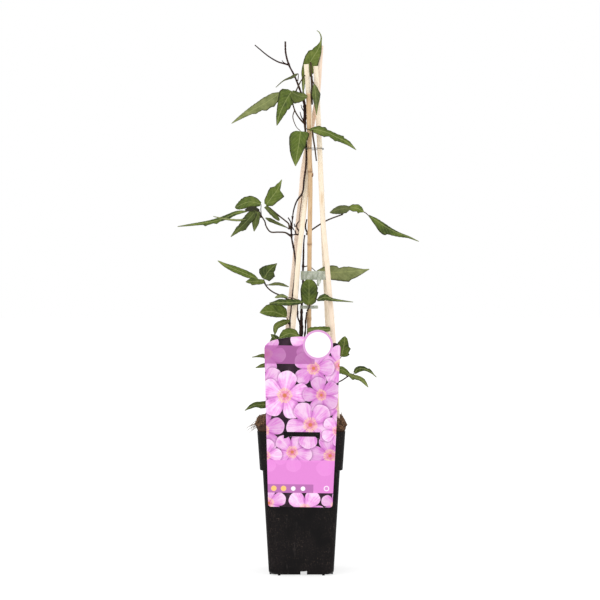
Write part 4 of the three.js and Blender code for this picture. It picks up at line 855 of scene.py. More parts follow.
for stakeName, stakePoints in stakePaths.items():
    makeStake(stakeName, stakePoints)

caneSizes = {
    "between": 2.82, "nodes": (0.2, 0.385, 0.577, 0.8), "swell": 0.5, "ring": 0.25, "steps": 260,
    "swellReach": 2.2, "ringReach": 0.9, "sawn": 1.6,
    "bud": [(13.2, -10.6, 496.4), (14.4, -11.2, 499), (14.7, -11.2, 502.4)],
    "budRadii": [0.5, 0.85, 1, 1, 0.85, 0.7, 0.5, 0.3, 0.08],
    "path": [(8.8, -12.4, 602), (10.4, -10.4, 531), (11.4, -9.2, 494), (10.4, -6.4, 404),
             (9.9, -3.8, 318), (9.8, 0.5, 184), (9.6, 2, 110)],
}


def makeCane():
    sizes = caneSizes
    path = smoothPath(sizes["path"], sizes["steps"])
    length = pathLength(path)
    radii, joints, cuts = [], [], []
    for share in np.linspace(0, 1, sizes["steps"]):
        apart = min(abs(share - place) for place in sizes["nodes"]) * length
        lump = math.exp(-(apart / sizes["swellReach"]) ** 2)
        ring = math.exp(-(apart / sizes["ringReach"]) ** 2)
        radii.append(sizes["between"] + sizes["swell"] * lump - sizes["ring"] * ring)
        joints.append(ring)
        cuts.append(1.0 if share * length < sizes["sawn"] else 0.0)
    steps = len(sizes["budRadii"])
    bud = (smoothPath(sizes["bud"], steps), sizes["budRadii"],
           {"joint": [1.0] * steps, "cut": [0.0] * steps})
    rod = (path, radii, {"joint": joints, "cut": cuts})
    mesh = twigMesh("caneRod", [rod, bud], 24, finishes["cane"])
    mesh.set_sharp_from_angle(angle=math.radians(50))
    settle(makeObject("caneRod", mesh, smooth=False), "cane", "bamboo_cane")


makeCane()
print("stakes and cane done")


# Stems: each is a main shoot with its side shoots, all as points, start radius and end radius.
# "knots" are heights where leaves leave it, with buds; "swellings" are height, extra and reach.

stemSizes = {
    "stem_left": {
        "main": ([(-3.5, 5, 176), (-3.5, 5, 205), (-6, 2, 250), (-13, 1, 290), (-14.3, 0, 317),
                  (-13, 0, 329), (-11.1, 0, 348), (-9, 0.5, 364), (-7.2, 1, 386), (-9.2, 1, 405),
                  (-12.4, 0, 423), (-11.3, -2.5, 443), (-9.4, -5.5, 456), (-5.4, -8.4, 467),
                  (1.4, -9.2, 477), (3.6, -8.4, 494), (6, -8.3, 513), (6.2, -7.9, 534),
                  (4.6, -6.4, 565), (4.2, -5.5, 588), (-0.6, -5, 604), (-4.5, -4, 615),
                  (-9.5, -2, 627), (-15.5, 0, 639), (-19.6, 1, 654), (-20.2, 2, 669)],
                 1.35, 1.1),
        "shoots": [
            ([(-15.5, 0, 639), (-23, -1, 641), (-29, -3, 642.5), (-41, -6, 649), (-58.5, -9, 663)],
             1.05, 0.7),
            ([(-17.5, 0, 640), (-21.5, -1.5, 641.5), (-24.5, -2, 644.5)], 0.7, 0.45),
            ([(-13.4, -2.6, 437), (-10.6, -4, 440.8)], 0.65, 0.2),
            ([(-12, 0, 423), (-13.4, -2, 432), (-13.4, -3, 440), (-16.6, -4, 446)], 0.7, 0.8),
            ([(1.4, -9.2, 476), (-0.6, -9.6, 460), (-2.2, -10, 448), (-2.6, -10.1, 441)],
             0.5, 0.45),
            ([(-2.6, -10.1, 441), (-4.1, -10.2, 439.4), (-5.6, -10.4, 436.8), (-5.6, -10.4, 433),
              (-3.5, -10.2, 429.8), (-2.5, -10, 427.3), (-3.4, -10, 424.6),
              (-6.2, -9.6, 424.4)], 0.75, 0.95),
            ([(-5.7, -10.2, 436.6), (-8, -8.6, 434.4), (-8.9, -7, 438)], 0.75, 0.6),
            ([(-7.9, -6, 429.6), (-6.8, -7.6, 425.2)], 0.9, 0.9),
            ([(-11.8, -1.5, 434.6), (-9.2, -3.4, 430.2)], 0.8, 0.65),
            ([(-11.6, -2, 424), (-8.6, -6, 424.4), (-6.4, -9.4, 424.6)], 0.75, 0.75),
            ([(4.6, -6, 566), (0.5, -7.5, 572), (-1.6, -8, 579)], 0.85, 0.5),
            ([(3.8, -6, 580), (1, -7.4, 583.4), (-0.4, -7.8, 588)], 0.8, 0.4)],
        "knots": [312, 341, 408, 423, 434, 446, 565, 571, 580, 586, 602, 640],
        "swellings": [(330, -0.42, 50), (446, -0.45, 20), (581, 0.9, 19)],
    },
    "stem_centre": {
        "main": ([(0.5, 1, 174), (0.5, 1, 205), (0.4, 0, 250), (-0.2, -1, 290), (0.2, -2.5, 314),
                  (0.4, -4, 331), (2.1, -5, 361), (2.2, -5, 380), (2.6, -4.6, 393),
                  (3.4, -3.6, 417), (4.4, -3.4, 424)], 1.7, 1.15),
        "knots": [256, 288, 300, 308, 318, 326, 384],
        "swellings": [(304, 1.2, 10), (330, 0.25, 10), (418, -0.3, 12)],
    },
    "stem_short_left": {
        "main": ([(-3.4, -1.5, 178), (-3.4, -1.5, 215), (-3, -4, 270), (-1, -6.2, 296),
                  (-0.6, -6.6, 304), (-1.8, -6.8, 313), (-4.2, -7, 319.5), (-4.8, -7.2, 326),
                  (-4.6, -7.5, 341)], 1.25, 0.95),
        "knots": [234, 288, 312, 326, 341],
    },
    "stem_short_right": {
        "main": ([(4, -3.5, 180), (4, -3.5, 220), (2.6, -5, 285), (5, -7.6, 302), (5.6, -8.2, 316),
                  (7, -8.6, 327)], 1.25, 0.95),
        "knots": [282, 300, 315],
    },
}
budSizes = {
    "length": 3.4, "radius": 0.75, "lean": 0.55, "seed": 11, "above": 240, "knot": 0.5,
    "knotReach": 1.5, "uneven": 0.06, "shape": (0.45, 0.85, 1, 0.9, 0.65, 0.35, 0.06),
}


def budTwig(place, aim):
    # a short pointed bud, thickest a third of the way up
    shape = budSizes["shape"]
    path = [place + aim * budSizes["length"] * share for share in np.linspace(0, 1, len(shape))]
    return np.array(path), [budSizes["radius"] * share for share in shape]


def makeStem(name, sizes):
    random = np.random.default_rng(budSizes["seed"] + len(name))
    points, start, end = sizes["main"]
    path = smoothPath(points, max(12, int((points[-1][2] - points[0][2]) / 1.4)))
    radii = np.linspace(start, end, len(path))
    for height, extra, reach in sizes.get("swellings", []):
        radii = radii + extra * np.exp(-((path[:, 2] - height) / reach) ** 2)
    twigs = []
    for height in sizes["knots"]:
        spot = path[np.argmin(abs(path[:, 2] - height))]
        away = np.linalg.norm(path - spot, axis=1) / budSizes["knotReach"]
        radii = radii + budSizes["knot"] * np.exp(-away ** 2)
        if height > budSizes["above"]:
            angle = random.uniform(0, math.tau)
            for side in (-1, 1):
                aim = unit(np.array([side * math.cos(angle) * budSizes["lean"],
                                     side * math.sin(angle) * budSizes["lean"], 1]))
                twigs.append(budTwig(spot, aim))
    twigs.append((path, radii * (1 + budSizes["uneven"] * random.standard_normal(len(path)))))
    for shoot, thick, thin in sizes.get("shoots", []):
        branch = smoothPath(shoot, 26)
        twigs.append((branch, np.linspace(thick, thin, len(branch))))
    shown = name.replace("_", "") + "Shoot"
    mesh = twigMesh(shown, twigs, 12, finishes["stem"])
    settle(makeObject(shown, mesh, smooth=False), "stem", name)


for stemName, stem in stemSizes.items():
    makeStem(stemName, stem)
print("stems done")


# Ties: a green wire, a clear tape and a narrow strip below it

tieSizes = {
    "wire": {"height": 533, "radius": 0.45, "ripple": 0.25, "knotStart": (4.4, -13.2, 1.2),
             "knotWay": (3, -3.4, -3), "twist": 0.45, "halfTurns": 5, "loop": [
        (2.8, -8.4), (1.6, 0), (0.6, 7), (1.4, 12), (8, 12.8), (20, 9.2), (27.4, 7.8), (28, 1),
        (27.4, -5.4), (24, -8.6), (15.6, -13.4), (10.8, -14.8), (5.8, -12.4)]},
    "tape": {"bottom": 367.4, "top": 378.4, "thickness": 0.55, "wrinkle": 0.35,
             "looseHalf": 3.4, "crumple": 0.9,
             "loose": [(22.6, -10.9, 370), (22, -11.4, 365), (20.4, -11, 359.6)], "loop": [
        (-0.6, -4.8), (1, -8.6), (9.8, -9.8), (20, -9.6), (29, -9.8), (30.6, -8.4), (27, -6.6),
        (17, -1.8), (10, -0.6), (2, -1.8)]},
    "lower": {"bottom": 331, "top": 335, "thickness": 0.5, "wrinkle": 0.18, "loop": [
        (-1.4, -4), (0.4, -7.4), (9.6, -8), (19.4, -7.4), (21, -6), (15, -1.4), (9.6, 0.8),
        (1.4, -0.6)]},
}


def closedPath(points, count):
    wide = smoothPath(list(points[-3:]) + list(points) + list(points[:4]), count * 3)
    start = np.argmin(np.linalg.norm(wide[:count] - points[0], axis=1))
    end = count + np.argmin(np.linalg.norm(wide[count:] - points[0], axis=1))
    loop = wide[start:end]
    return loop[np.linspace(0, len(loop) - 1, count).astype(int)]


def loopRings(path, section, upward):
    steps = np.roll(path, -1, axis=0) - np.roll(path, 1, axis=0)
    rings = []
    for row, (middle, step) in enumerate(zip(path, steps)):
        ahead = unit(step)
        across = unit(np.cross(upward, ahead))
        out = np.cross(ahead, across)
        rings.append([middle + a * across + b * out for a, b in section(row / len(path))])
    return rings


def makeWire():
    sizes = tieSizes["wire"]
    loop = [(x, y, sizes["height"] + sizes["ripple"] * math.sin(step))
            for step, (x, y) in enumerate(sizes["loop"])]
    path = closedPath(loop, 90)
    turn = [(math.cos(a) * sizes["radius"], math.sin(a) * sizes["radius"])
            for a in np.linspace(0, math.tau, 10, endpoint=False)]
    ring = shellMesh("wireRing", loopRings(path, lambda share: turn, (0, 0, 1)), closed=True)
    ring.materials.append(finishes["wire"])
    ring.shade_smooth()
    # the two ends are twisted together in front of the cane
    start = np.array(sizes["knotStart"]) + (0, 0, sizes["height"])
    shares = np.linspace(0, 1, 40)
    twigs = []
    for side in (0, math.pi):
        turns = side + shares * sizes["halfTurns"] * math.pi
        aside = np.stack([np.cos(turns), np.zeros(40), np.sin(turns)], 1) * sizes["twist"]
        twist = start + shares[:, None] * sizes["knotWay"] + aside
        twigs.append((twist, [sizes["radius"]] * 40))
    knot = twigMesh("wireKnot", twigs, 8, finishes["wire"])
    settle(joinMeshes("tieWire", [ring, knot]), "tie_wire", "wire_tie")


def makeTape(name, node, sizes):
    middle = (sizes["bottom"] + sizes["top"]) / 2
    half = (sizes["top"] - sizes["bottom"]) / 2
    out = sizes["thickness"] / 2
    rows = 14
    edge = [(out, -half + 2 * half * step / rows) for step in range(rows + 1)]
    outline = edge + [(-a, b) for a, b in reversed(edge)]

    def section(share):
        made = []
        for a, b in outline:
            crease = noise.noise(Vector((share * 26, b * 0.22, 4 + middle)))
            fold = noise.noise(Vector((share * 9, b * 0.7, middle)))
            made.append((a + sizes["wrinkle"] * crease, b * (1 + 0.05 * fold)))
        return made

    path = closedPath([(x, y, middle) for x, y in sizes["loop"]], 170)
    mesh = shellMesh(name, loopRings(path, section, (0, 0, 1)), closed=True)
    mesh.materials.append(finishes["tape"])
    meshes = [mesh]
    if "loose" in sizes:  # the crumpled end that hangs below the tape
        corners = [(1, -1), (1, 1), (0.3, 1), (-0.4, 1), (-1, 1), (-1, -1), (-0.3, -1), (0.4, -1)]

        def crumple(share):
            half = sizes["looseHalf"] * (1 - 0.6 * share)
            return [(a * half + noise.noise(Vector((a, share * 5, 2))),
                     b * out + sizes["crumple"] * noise.noise(Vector((a * 1.6, share * 4, 7))))
                    for a, b in corners]

        hang = smoothPath(sizes["loose"], 14)
        end = shellMesh(name + "End", sweepRings(hang, crumple, (0, -1, 0)))
        end.materials.append(finishes["tape"])
        meshes.append(end)
    settle(joinMeshes(name, meshes), "tie_tape", node)


makeWire()
makeTape("tieTape", "tape_tie", tieSizes["tape"])
makeTape("lowerStrip", "lower_tie", tieSizes["lower"])
print("ties done")


# Leaves: toothed blades with a rib under them, on stalks that meet at the petiole's end.
# "rib" runs from base to tip. "left", "right" or "both" is the outline, as per cent of the length
# and half width there; "width" is the widest half of a blade with plain teeth. "face" is the way
# the upper side looks at the base and "tipFace" at the tip, "fold" lifts both halves in degrees.
# "pale" shows the under side's colour, "dark" a shaded blade, and "tint" shifts the green.

leafSizes = {
    "leaf_crown": {"leaflets": [
        {"stalk": [(0.8, -2.9, 598), (3, 0, 604)],
         "rib": [(2, 1.4, 608), (2.8, 2, 623.9), (8.5, 3, 637.8), (14.8, 4, 649.2),
             (20.5, 4.4, 658), (24.3, 4.6, 667.5), (25.3, 4.6, 674.4), (23, 4.6, 680.8),
             (19.8, 4.2, 683.3)],
         "left": [(0, 1), (18, 2), (26, 5), (38, 7.8), (48, 9.8), (58, 9.6), (62, 6.6),
             (67, 6.2), (73, 3.6), (80, 1.2), (92, 0.7), (100, 0.4)],
         "right": [(0, 1), (15, 4), (24, 8.4), (34, 11), (47, 11), (60, 8), (70, 4.5), (76, 2.5),
             (82, 1), (92, 0.7), (100, 0.4)], "face": (0.22, -1, 0.1), "tipFace": (0.5, -1, 0),
         "fold": 10, "tint": 0.14},
        {"stalk": [(3, 0, 604), (3, -3.6, 609), (3, -5.4, 617)],
         "rib": [(3, -6.2, 620), (2.6, -6.2, 611), (2, -6.2, 602)],
         "left": [(0, 0.5), (30, 1.8), (60, 1.7), (100, 0.4)],
         "right": [(0, 0.5), (35, 1.3), (70, 1.2), (100, 0.4)], "face": (0, -1, 0.1), "fold": 8,
         "pale": 0.6},
    ]},
    "leaf_crown_small": {"leaflets": [
        {"stalk": [(-4.4, -5.9, 618), (-3.6, -7.6, 625)],
         "rib": [(-4, -8.4, 627), (-11.8, -9, 622.6), (-21.9, -10.4, 618.2), (-32, -12, 609.3)],
         "left": [(0, 0.5), (20, 3), (40, 2), (60, 1), (100, 0.4)],
         "right": [(0, 0.5), (15, 2.5), (35, 1.5), (60, 0.8), (100, 0.4)], "face": (-0.3, -1, 0.4),
         "pale": 0.5, "dark": 0.6},
    ]},
    "leaf_crown_front": {
        "stout": 1.7,
        "tendril": [(12.9, -9.9, 624), (13.4, -9.6, 610), (12.9, -9.4, 600), (13.8, -9.8, 588)],
        "leaflets": [
        {"stalk": [(11.6, 1.4, 642), (12.2, -4, 640), (12.5, -9, 632), (12.9, -10, 624),
             (14.4, -10.8, 617)],
         "rib": [(16, -11, 613.8), (18, -11.4, 599.9), (18.6, -11.8, 587.2),
             (19.2, -12.5, 574.6)],
         "left": [(0, 0.8), (15, 4), (35, 6.6), (50, 5.2), (70, 3), (90, 1), (100, 0.4)],
         "right": [(0, 0.8), (15, 3.5), (35, 6.2), (50, 4.6), (70, 2.5), (90, 0.8), (100, 0.4)],
         "face": (0.2, -1, 0.1), "fold": 22, "pale": 0.25},
    ]},
    "leaf_upper_left": {
        "tendril": [(-12.6, -11.2, 600.5), (-8, -12.4, 602.4), (-5.4, -11.6, 607.4),
            (-0.4, -10.6, 617.6), (4.7, -9.6, 625)],
        "petiole": [(3.3, -8.35, 565), (-1, -10, 569), (-7.6, -12, 579), (-11, -12, 590),
            (-13, -11, 601)],
        "leaflets": [
        {"stalk": [(-13, -11, 600), (-20, -10, 605)],
         "rib": [(-26.9, -9, 602.4), (-45.9, -7.4, 589.7), (-64.8, -9, 579), (-77.5, -11, 570.8),
             (-87.6, -13, 563.8)],
         "left": [(0, 2), (10, 8), (22, 11), (26, 9), (36, 10), (42, 6.5), (55, 7), (60, 4.5),
             (80, 2.5), (100, 0.4)],
         "right": [(0, 2), (12, 6.5), (30, 7.5), (50, 6), (70, 4), (85, 2.4), (100, 0.4)],
         "face": (-0.15, -1, 0.2), "fold": 12, "pale": 0.85},
        {"stalk": [(-12.6, -11, 600)],
         "rib": [(-12, -13, 604.4), (-20.6, -16, 589.7), (-26.9, -17.6, 575.8),
             (-30.7, -18, 560.7)],
         "left": [(0, 3), (15, 9), (30, 10.7), (36, 9), (45, 9.5), (52, 7.4), (62, 7.2),
             (80, 4.5), (100, 0.4)],
         "right": [(0, 6), (6, 12), (15, 14), (30, 11), (40, 9), (60, 5.6), (80, 3.2),
             (100, 0.4)], "face": (-0.1, -1, 0.2), "fold": 8},
        {"stalk": [(-12.6, -11.4, 599)],
         "rib": [(-12, -14, 603), (-2, -16.5, 598), (7.5, -18.5, 597)],
         "left": [(0, 3), (20, 4), (50, 5), (80, 4.5), (100, 0.8)],
         "right": [(0, 5), (25, 9), (45, 11.5), (55, 9.5), (70, 7), (85, 4.5), (100, 0.8)],
         "face": (0, -1, 0.25), "fold": 6, "dark": 0.35},
        {"stalk": [(-8.6, -12.2, 580), (-10.6, -14.5, 572), (-6, -15.5, 559)],
         "rib": [(-1, -15.8, 553.8), (-2.9, -16.8, 537.9), (-5.4, -16.6, 524), (-7.3, -16, 510)],
         "left": [(0, 8), (3, 11.5), (12, 11.5), (25, 9.5), (40, 9), (50, 7.5), (65, 6), (80, 4),
             (92, 1.8), (100, 0.4)],
         "right": [(0, 6), (3, 9.5), (10, 12.5), (20, 13.5), (40, 12.5), (60, 10), (75, 7),
             (88, 3.8), (100, 0.4)], "face": (-0.06, -1, 0.12), "fold": 8, "tint": 0.22},
    ]},
    "leaf_upper_right": {
        "stout": 1.3,
        "tendril": [(14, -18.3, 555.4), (14.6, -18, 548), (17.2, -17, 531), (19, -16, 516.4)],
        "leaflets": [
        {"stalk": [(4.9, -7.75, 562), (4, -12, 560), (6, -16.6, 557)],
         "rib": [(9.7, -18, 555.6), (21.1, -18.6, 555), (33.7, -19.4, 551.2),
             (45.1, -20.4, 545.5), (56.5, -21.8, 539.8), (68.5, -24, 529.7)],
         "left": [(0, 0.5), (8, 3.5), (17, 6), (24, 5.5), (30, 6.2), (33, 3.6), (45, 4),
             (60, 4.6), (66, 5.6), (69, 3.2), (80, 3.4), (90, 1.8), (100, 0.4)],
         "right": [(0, 0.5), (10, 4.5), (20, 6.5), (33, 7.5), (38, 5.2), (42, 4.2), (50, 5.4),
             (56, 6.5), (60, 4.8), (75, 4), (88, 2), (100, 0.4)], "face": (0.2, -1, 0.3),
         "fold": 12, "tint": -0.05},
    ]},
    "leaf_middle_left_long": {
        "petiole": [(-13.4, -1.6, 423), (-20, -3, 427), (-29, -5, 427.6), (-39, -6, 428),
            (-44.5, -7, 435.5), (-45.8, -7.6, 440.6), (-51, -8, 449)],
        "leaflets": [
        # a leaflet at the back in full painted shade, where the leaflets shade each other at their
        # junction
        {"stalk": [(-50, -8, 448)],
         "rib": [(-53, -8.6, 454), (-61, -9.4, 457), (-71, -10.4, 455.4)],
         "left": [(0, 2), (30, 4.4), (70, 4), (100, 0.6)],
         "right": [(0, 2), (30, 3.4), (70, 3), (100, 0.6)], "face": (0, -1, 0.3), "dark": 1},
        {"stalk": [(-50, -8, 448), (-60, -9, 453)],
         "rib": [(-67.4, -9, 453.9), (-82.5, -9.4, 451.3), (-95.2, -10, 445.6),
             (-111.6, -12, 440.6), (-128, -15, 437.8), (-155, -20, 434)],
         "left": [(0, 0.6), (12, 2.6), (26, 3.4), (42, 3.2), (47, 5.2), (50, 3), (58, 3.6),
             (62, 4.8), (65, 2.4), (85, 1.4), (100, 0.4)],
         "right": [(0, 0.6), (12, 2.6), (30, 3.4), (50, 2.8), (80, 1.6), (100, 0.4)],
         "face": (-0.1, -1, 0.35), "fold": 12},
        {"stalk": [(-50, -8, 446)],
         "rib": [(-62, -12, 447.6), (-76, -15, 442.4), (-94, -20, 443.4), (-110, -24, 446.5)],
         "both": [(0, 0.5), (30, 1.8), (70, 1.5), (100, 0.4)], "face": (0, -0.8, 0.6), "fold": 6,
         "pale": 0.9},
        {"stalk": [(-50, -8, 446)],
         "rib": [(-57, -10, 454), (-68.6, -15, 440.6), (-77.5, -19, 431.7), (-88.2, -24, 421)],
         "left": [(0, 4), (20, 6), (45, 6.3), (58, 8), (66, 6.8), (72, 4.2), (85, 2.4),
             (100, 0.4)],
         "right": [(0, 5), (20, 7), (45, 6.4), (50, 5), (62, 4), (70, 4.2), (85, 2), (100, 0.4)],
         "face": (-0.2, -1, 0.25), "dark": 0.4},
        {"stalk": [(-50, -8, 446)],
         "rib": [(-55, -11, 453), (-57.3, -15, 440.6), (-59.2, -19, 428)],
         "left": [(0, 3.4), (30, 5), (60, 4.8), (80, 3), (100, 0.5)],
         "right": [(0, 3.4), (30, 4.6), (60, 4.4), (80, 2.6), (100, 0.5)],
         "face": (-0.1, -1, 0.25), "dark": 0.45},
        {"stalk": [(-50, -8, 446), (-51, -4, 456)],
         "rib": [(-51, -3, 463), (-66, 1, 466), (-84, 6, 459)],
         "left": [(0, 3), (20, 7), (45, 9), (70, 8), (85, 6), (95, 3.4), (100, 0.6)],
         "right": [(0, 2.5), (15, 6), (35, 8.2), (60, 8), (80, 5.4), (93, 3), (100, 0.6)],
         "face": (-0.1, -1, 0.45)},
    ]},
    "leaf_middle_left_short": {
        "petiole": [(-14.8, -6, 431), (-16, -7, 438), (-21, -8, 442.5), (-26, -9, 446.4),
            (-34, -11, 453), (-40, -13, 458)],
        "leaflets": [
        {"stalk": [(-38.6, -13, 457)],
         "rib": [(-44, -14, 461.4), (-37, -15.2, 470.9), (-29.5, -16.6, 481), (-24.4, -18, 493)],
         "left": [(0, 3), (10, 6), (25, 7), (42, 9), (55, 9.5), (62, 7.5), (70, 5), (78, 4.5),
             (90, 1.8), (100, 0.4)],
         "right": [(0, 3), (10, 8), (30, 10), (45, 11.4), (58, 13), (66, 3.4), (80, 2),
             (100, 0.4)], "face": (-0.1, -1, 0.1)},
        {"stalk": [(-38.6, -13, 457)],
         "rib": [(-45, -18, 459), (-37, -21, 450.7), (-27.6, -25, 441.2)],
         "both": [(0, 2.5), (40, 3.6), (80, 3.4), (100, 1.4)], "face": (0.3, -1, 0.3), "fold": 24,
         "dark": 0.5},
        {"stalk": [(-16.4, -8, 432)],
         "rib": [(-17.6, -11, 433), (-29.5, -14, 438.2), (-45, -17, 445)],
         "both": [(0, 0.5), (30, 1.6), (80, 2.8), (100, 0.6)], "face": (0, -1, 0.4), "fold": 8,
         "pale": 0.2, "dark": 0.5},
    ]},
    "leaf_middle_right": {
        "stout": 1.25,
        "tendril": [(8, -1.3, 426.4), (5.6, -1.6, 432), (5.4, -2, 436.5), (7.1, -2, 444)],
        "petiole": [(6.4, -1.2, 424.5), (12, -1.4, 429.5), (19, -2, 434.5), (26, -4, 438.8),
            (34, -8.6, 443), (52, -18, 449.4)],
        "leaflets": [
        {"stalk": [(51, -18, 449.2), (57, -19, 455)],
         "rib": [(60.4, -19, 457.6), (49, -21, 455.8), (35.6, -24, 451.3)],
         "left": [(0, 3), (20, 7), (50, 7.5), (75, 5), (90, 3), (100, 0.5)],
         "right": [(0, 2), (25, 4.4), (50, 4.8), (75, 3.4), (100, 0.5)], "face": (0.15, -1, 0.35),
         "pale": 0.5, "dark": 0.4},
        {"stalk": [(51, -18, 449.2)],
         "rib": [(59, -17, 457.4), (70.4, -15, 457), (78.6, -13, 452.6)],
         "left": [(0, 2.4), (30, 5), (60, 5.4), (85, 3.2), (100, 0.5)],
         "right": [(0, 2.4), (25, 5.6), (50, 5), (70, 6.8), (80, 4), (92, 2), (100, 0.5)],
         "face": (0.05, -1, 0.4)},
        {"stalk": [(59, -17, 456), (72, -13, 455), (80, -12, 452)],
         "rib": [(84.9, -12, 448.2), (96.9, -13, 440), (109.6, -15, 431.7),
             (122.2, -17.4, 425.4), (134.9, -20, 421), (146.9, -23, 415.3)],
         "left": [(0, 1), (15, 3), (35, 3.2), (60, 2), (80, 1), (100, 0.4)],
         "right": [(0, 1), (8, 3.4), (20, 7.5), (33, 11.6), (42, 12), (46, 8), (60, 5.6),
             (80, 2.2), (100, 0.4)], "face": (0.2, -1, 0.3)},
    ]},
    "leaf_lower_left": {
        "petiole": [(-10.9, -2, 341), (-18, -3, 343.6), (-26, -4.6, 347.6), (-35.6, -6, 352),
            (-42, -6.6, 357), (-47, -7, 364)],
        "leaflets": [
        {"stalk": [(-45, -7, 362)],
         "rib": [(-55, -9, 368.4), (-71.2, -12, 375.5), (-83.8, -15, 380.6), (-95.2, -18, 385.6),
             (-104.7, -20, 391.3)],
         "left": [(0, 1), (10, 3.5), (30, 4.8), (60, 4.4), (80, 2.8), (92, 1.5), (100, 0.4)],
         "right": [(0, 1), (10, 3.5), (30, 4.8), (60, 4.2), (80, 2.6), (92, 1.4), (100, 0.4)],
         "face": (-0.2, -1, 0.4)},
        {"stalk": [(-46, -7, 363)], "rib": [(-47, -6, 368.5), (-42, -3, 377.5),
             (-30.7, 1, 388.3)],
         "left": [(0, 3), (15, 9), (30, 11.5), (50, 8.5), (70, 5), (88, 2), (100, 0.4)],
         "right": [(0, 8), (20, 10.5), (40, 11.5), (50, 9), (56, 6.5), (70, 5.5), (88, 2),
             (100, 0.4)], "face": (-0.1, -1, 0.1), "dark": 0.15},
        {"stalk": [(-45, -7, 362)],
         "rib": [(-46.6, -10, 366), (-56, -14, 365.4), (-69.4, -21, 364.6)],
         "left": [(0, 3), (20, 4.8), (50, 5), (70, 5.4), (76, 3.2), (90, 2), (100, 0.4)],
         "right": [(0, 1.5), (15, 2.5), (40, 3.5), (65, 5), (85, 3), (100, 0.6)],
         "face": (-0.1, -1, 0.35), "dark": 0.2},
        {"stalk": [(-44, -7, 361)],
         "rib": [(-41, -9, 361), (-29, -12, 362.2), (-15.6, -14, 358.6)],
         "both": [(0, 0.8), (30, 2.3), (70, 2), (100, 0.5)], "face": (0, -1, 0.4), "pale": 0.6,
         "dark": 0.5},
    ]},
    "leaf_centre_front": {
        "petiole": [(7.6, -10.6, 328.5), (9.4, -12.6, 332), (10, -13.6, 335)],
        "leaflets": [
        {"stalk": [(9.6, -13, 333)],
         "rib": [(9.7, -14.6, 336), (9.7, -19, 351), (9.7, -26, 367.6)],
         "left": [(0, 4), (12, 9), (30, 10.5), (60, 11), (80, 9.6), (92, 7), (100, 3.4)],
         "right": [(0, 4), (10, 8.6), (30, 10.2), (48, 12), (52, 10.4), (66, 11.4), (80, 9.4),
             (92, 7), (100, 3.4)], "face": (0, -1, -0.35), "fold": 10, "tint": -0.14,
         "dark": 0.14},
        {"stalk": [(9.6, -13, 333), (14, -13.6, 343), (18.6, -19, 344)],
         "rib": [(20, -24.5, 341.6), (30, -26, 345.4), (40, -27, 342.4), (64.6, -31, 339.4)],
         "left": [(0, 1.4), (12, 4), (22, 4.6), (34, 2), (60, 1.6), (80, 1), (100, 0.4)],
         "right": [(0, 1.4), (15, 4.6), (30, 4.6), (45, 2.4), (70, 1.2), (100, 0.4)],
         "face": (0, -1, 0.4)},
    ]},
    "leaf_centre_left": {
        "petiole": [(-4.6, -9.6, 341.6), (-3.6, -14, 342), (-1, -24, 340.4)],
        "leaflets": [
        {"stalk": [(-2, -22, 341)],
         "rib": [(3.4, -26, 339.5), (-14.3, -28.4, 338.8), (-26.9, -28, 338.6), (-40, -27, 338)],
         "left": [(0, 1), (20, 3.8), (50, 4.6), (80, 3.4), (100, 0.5)],
         "right": [(0, 1), (20, 4), (50, 4.6), (70, 5), (85, 2.6), (100, 0.5)],
         "face": (0, -1, 0.4)},
        {"stalk": [(-3.4, -22, 341.4), (-10, -25, 344)],
         "rib": [(-17, -25.5, 345.5), (-25, -26, 347), (-33, -25, 345)],
         "both": [(0, 0.8), (40, 2.8), (80, 2), (100, 0.5)], "face": (0, -1, 0.4), "pale": 0.5},
    ]},
    "leaf_right_back": {"leaflets": [
        {"stalk": [(3.8, -2.2, 384), (9, 0.6, 385), (14, 2, 382)],
         "rib": [(19.8, 3.8, 377.5), (42.6, 3, 377), (61.6, 0, 378), (86, -3, 381)],
         "left": [(0, 2), (12, 7), (28, 9.4), (38, 8.4), (42, 5.4), (50, 7), (62, 6.6),
             (78, 3.4), (90, 1), (100, 0.4)],
         "right": [(0, 2), (10, 6), (24, 9.4), (45, 11.6), (53, 12.6), (60, 13.4), (64, 10.6),
             (74, 8.6), (86, 5), (95, 2), (100, 0.4)], "face": (0.05, -1, 0.2), "fold": 8,
         "pale": 0.9},
    ]},
    "leaf_low_left_upper": {
        "petiole": [(-15.6, -0.6, 312), (-16.4, -3, 314), (-16.4, -5, 316)],
        "leaflets": [
        {"stalk": [(-16, -3, 314.6)],
         "rib": [(-18.7, -6, 320.5), (-35.8, -10, 327.4), (-52.2, -13, 326.2)],
         "left": [(0, 1), (12, 2.5), (35, 6.5), (60, 7.5), (80, 5.5), (93, 2.4), (100, 0.4)],
         "right": [(0, 3), (12, 9.6), (30, 11.6), (50, 11.2), (75, 8.2), (92, 3.6), (100, 0.4)],
         "face": (-0.1, -1, 0.25)},
        {"stalk": [(-15, -3.6, 314)],
         "rib": [(-13.7, -6, 316.1), (-24.4, -11, 312.9), (-31.3, -13, 308.5), (-33.2, -15, 298)],
         "left": [(0, 1), (25, 4.2), (60, 4.6), (85, 2.6), (100, 0.4)],
         "right": [(0, 1), (25, 3.8), (60, 4.2), (85, 2.6), (100, 0.4)], "face": (-0.1, -1, 0.4),
         "dark": 0.2},
    ]},
    "leaf_low_left": {
        "petiole": [(-4, -5.4, 288), (-3.4, -14, 291), (-2.4, -27, 295)],
        "leaflets": [
        {"stalk": [(-2.6, -25, 294.6)],
         "rib": [(-2.4, -31, 297), (-14.3, -34, 300.3), (-28, -36, 294.5)],
         "left": [(0, 1), (20, 6), (50, 8), (62, 8.4), (70, 5.8), (88, 3), (100, 0.5)],
         "right": [(0, 1), (20, 6), (42, 7.4), (66, 7.4), (86, 4), (100, 0.5)],
         "face": (0, -1, 0.5)},
        {"stalk": [(-3.4, -25, 295), (-16, -31, 290)],
         "rib": [(-24, -33, 287.5), (-31, -35, 293), (-38, -36, 299.5)],
         "left": [(0, 1), (30, 4.4), (60, 4), (85, 2), (100, 0.4)],
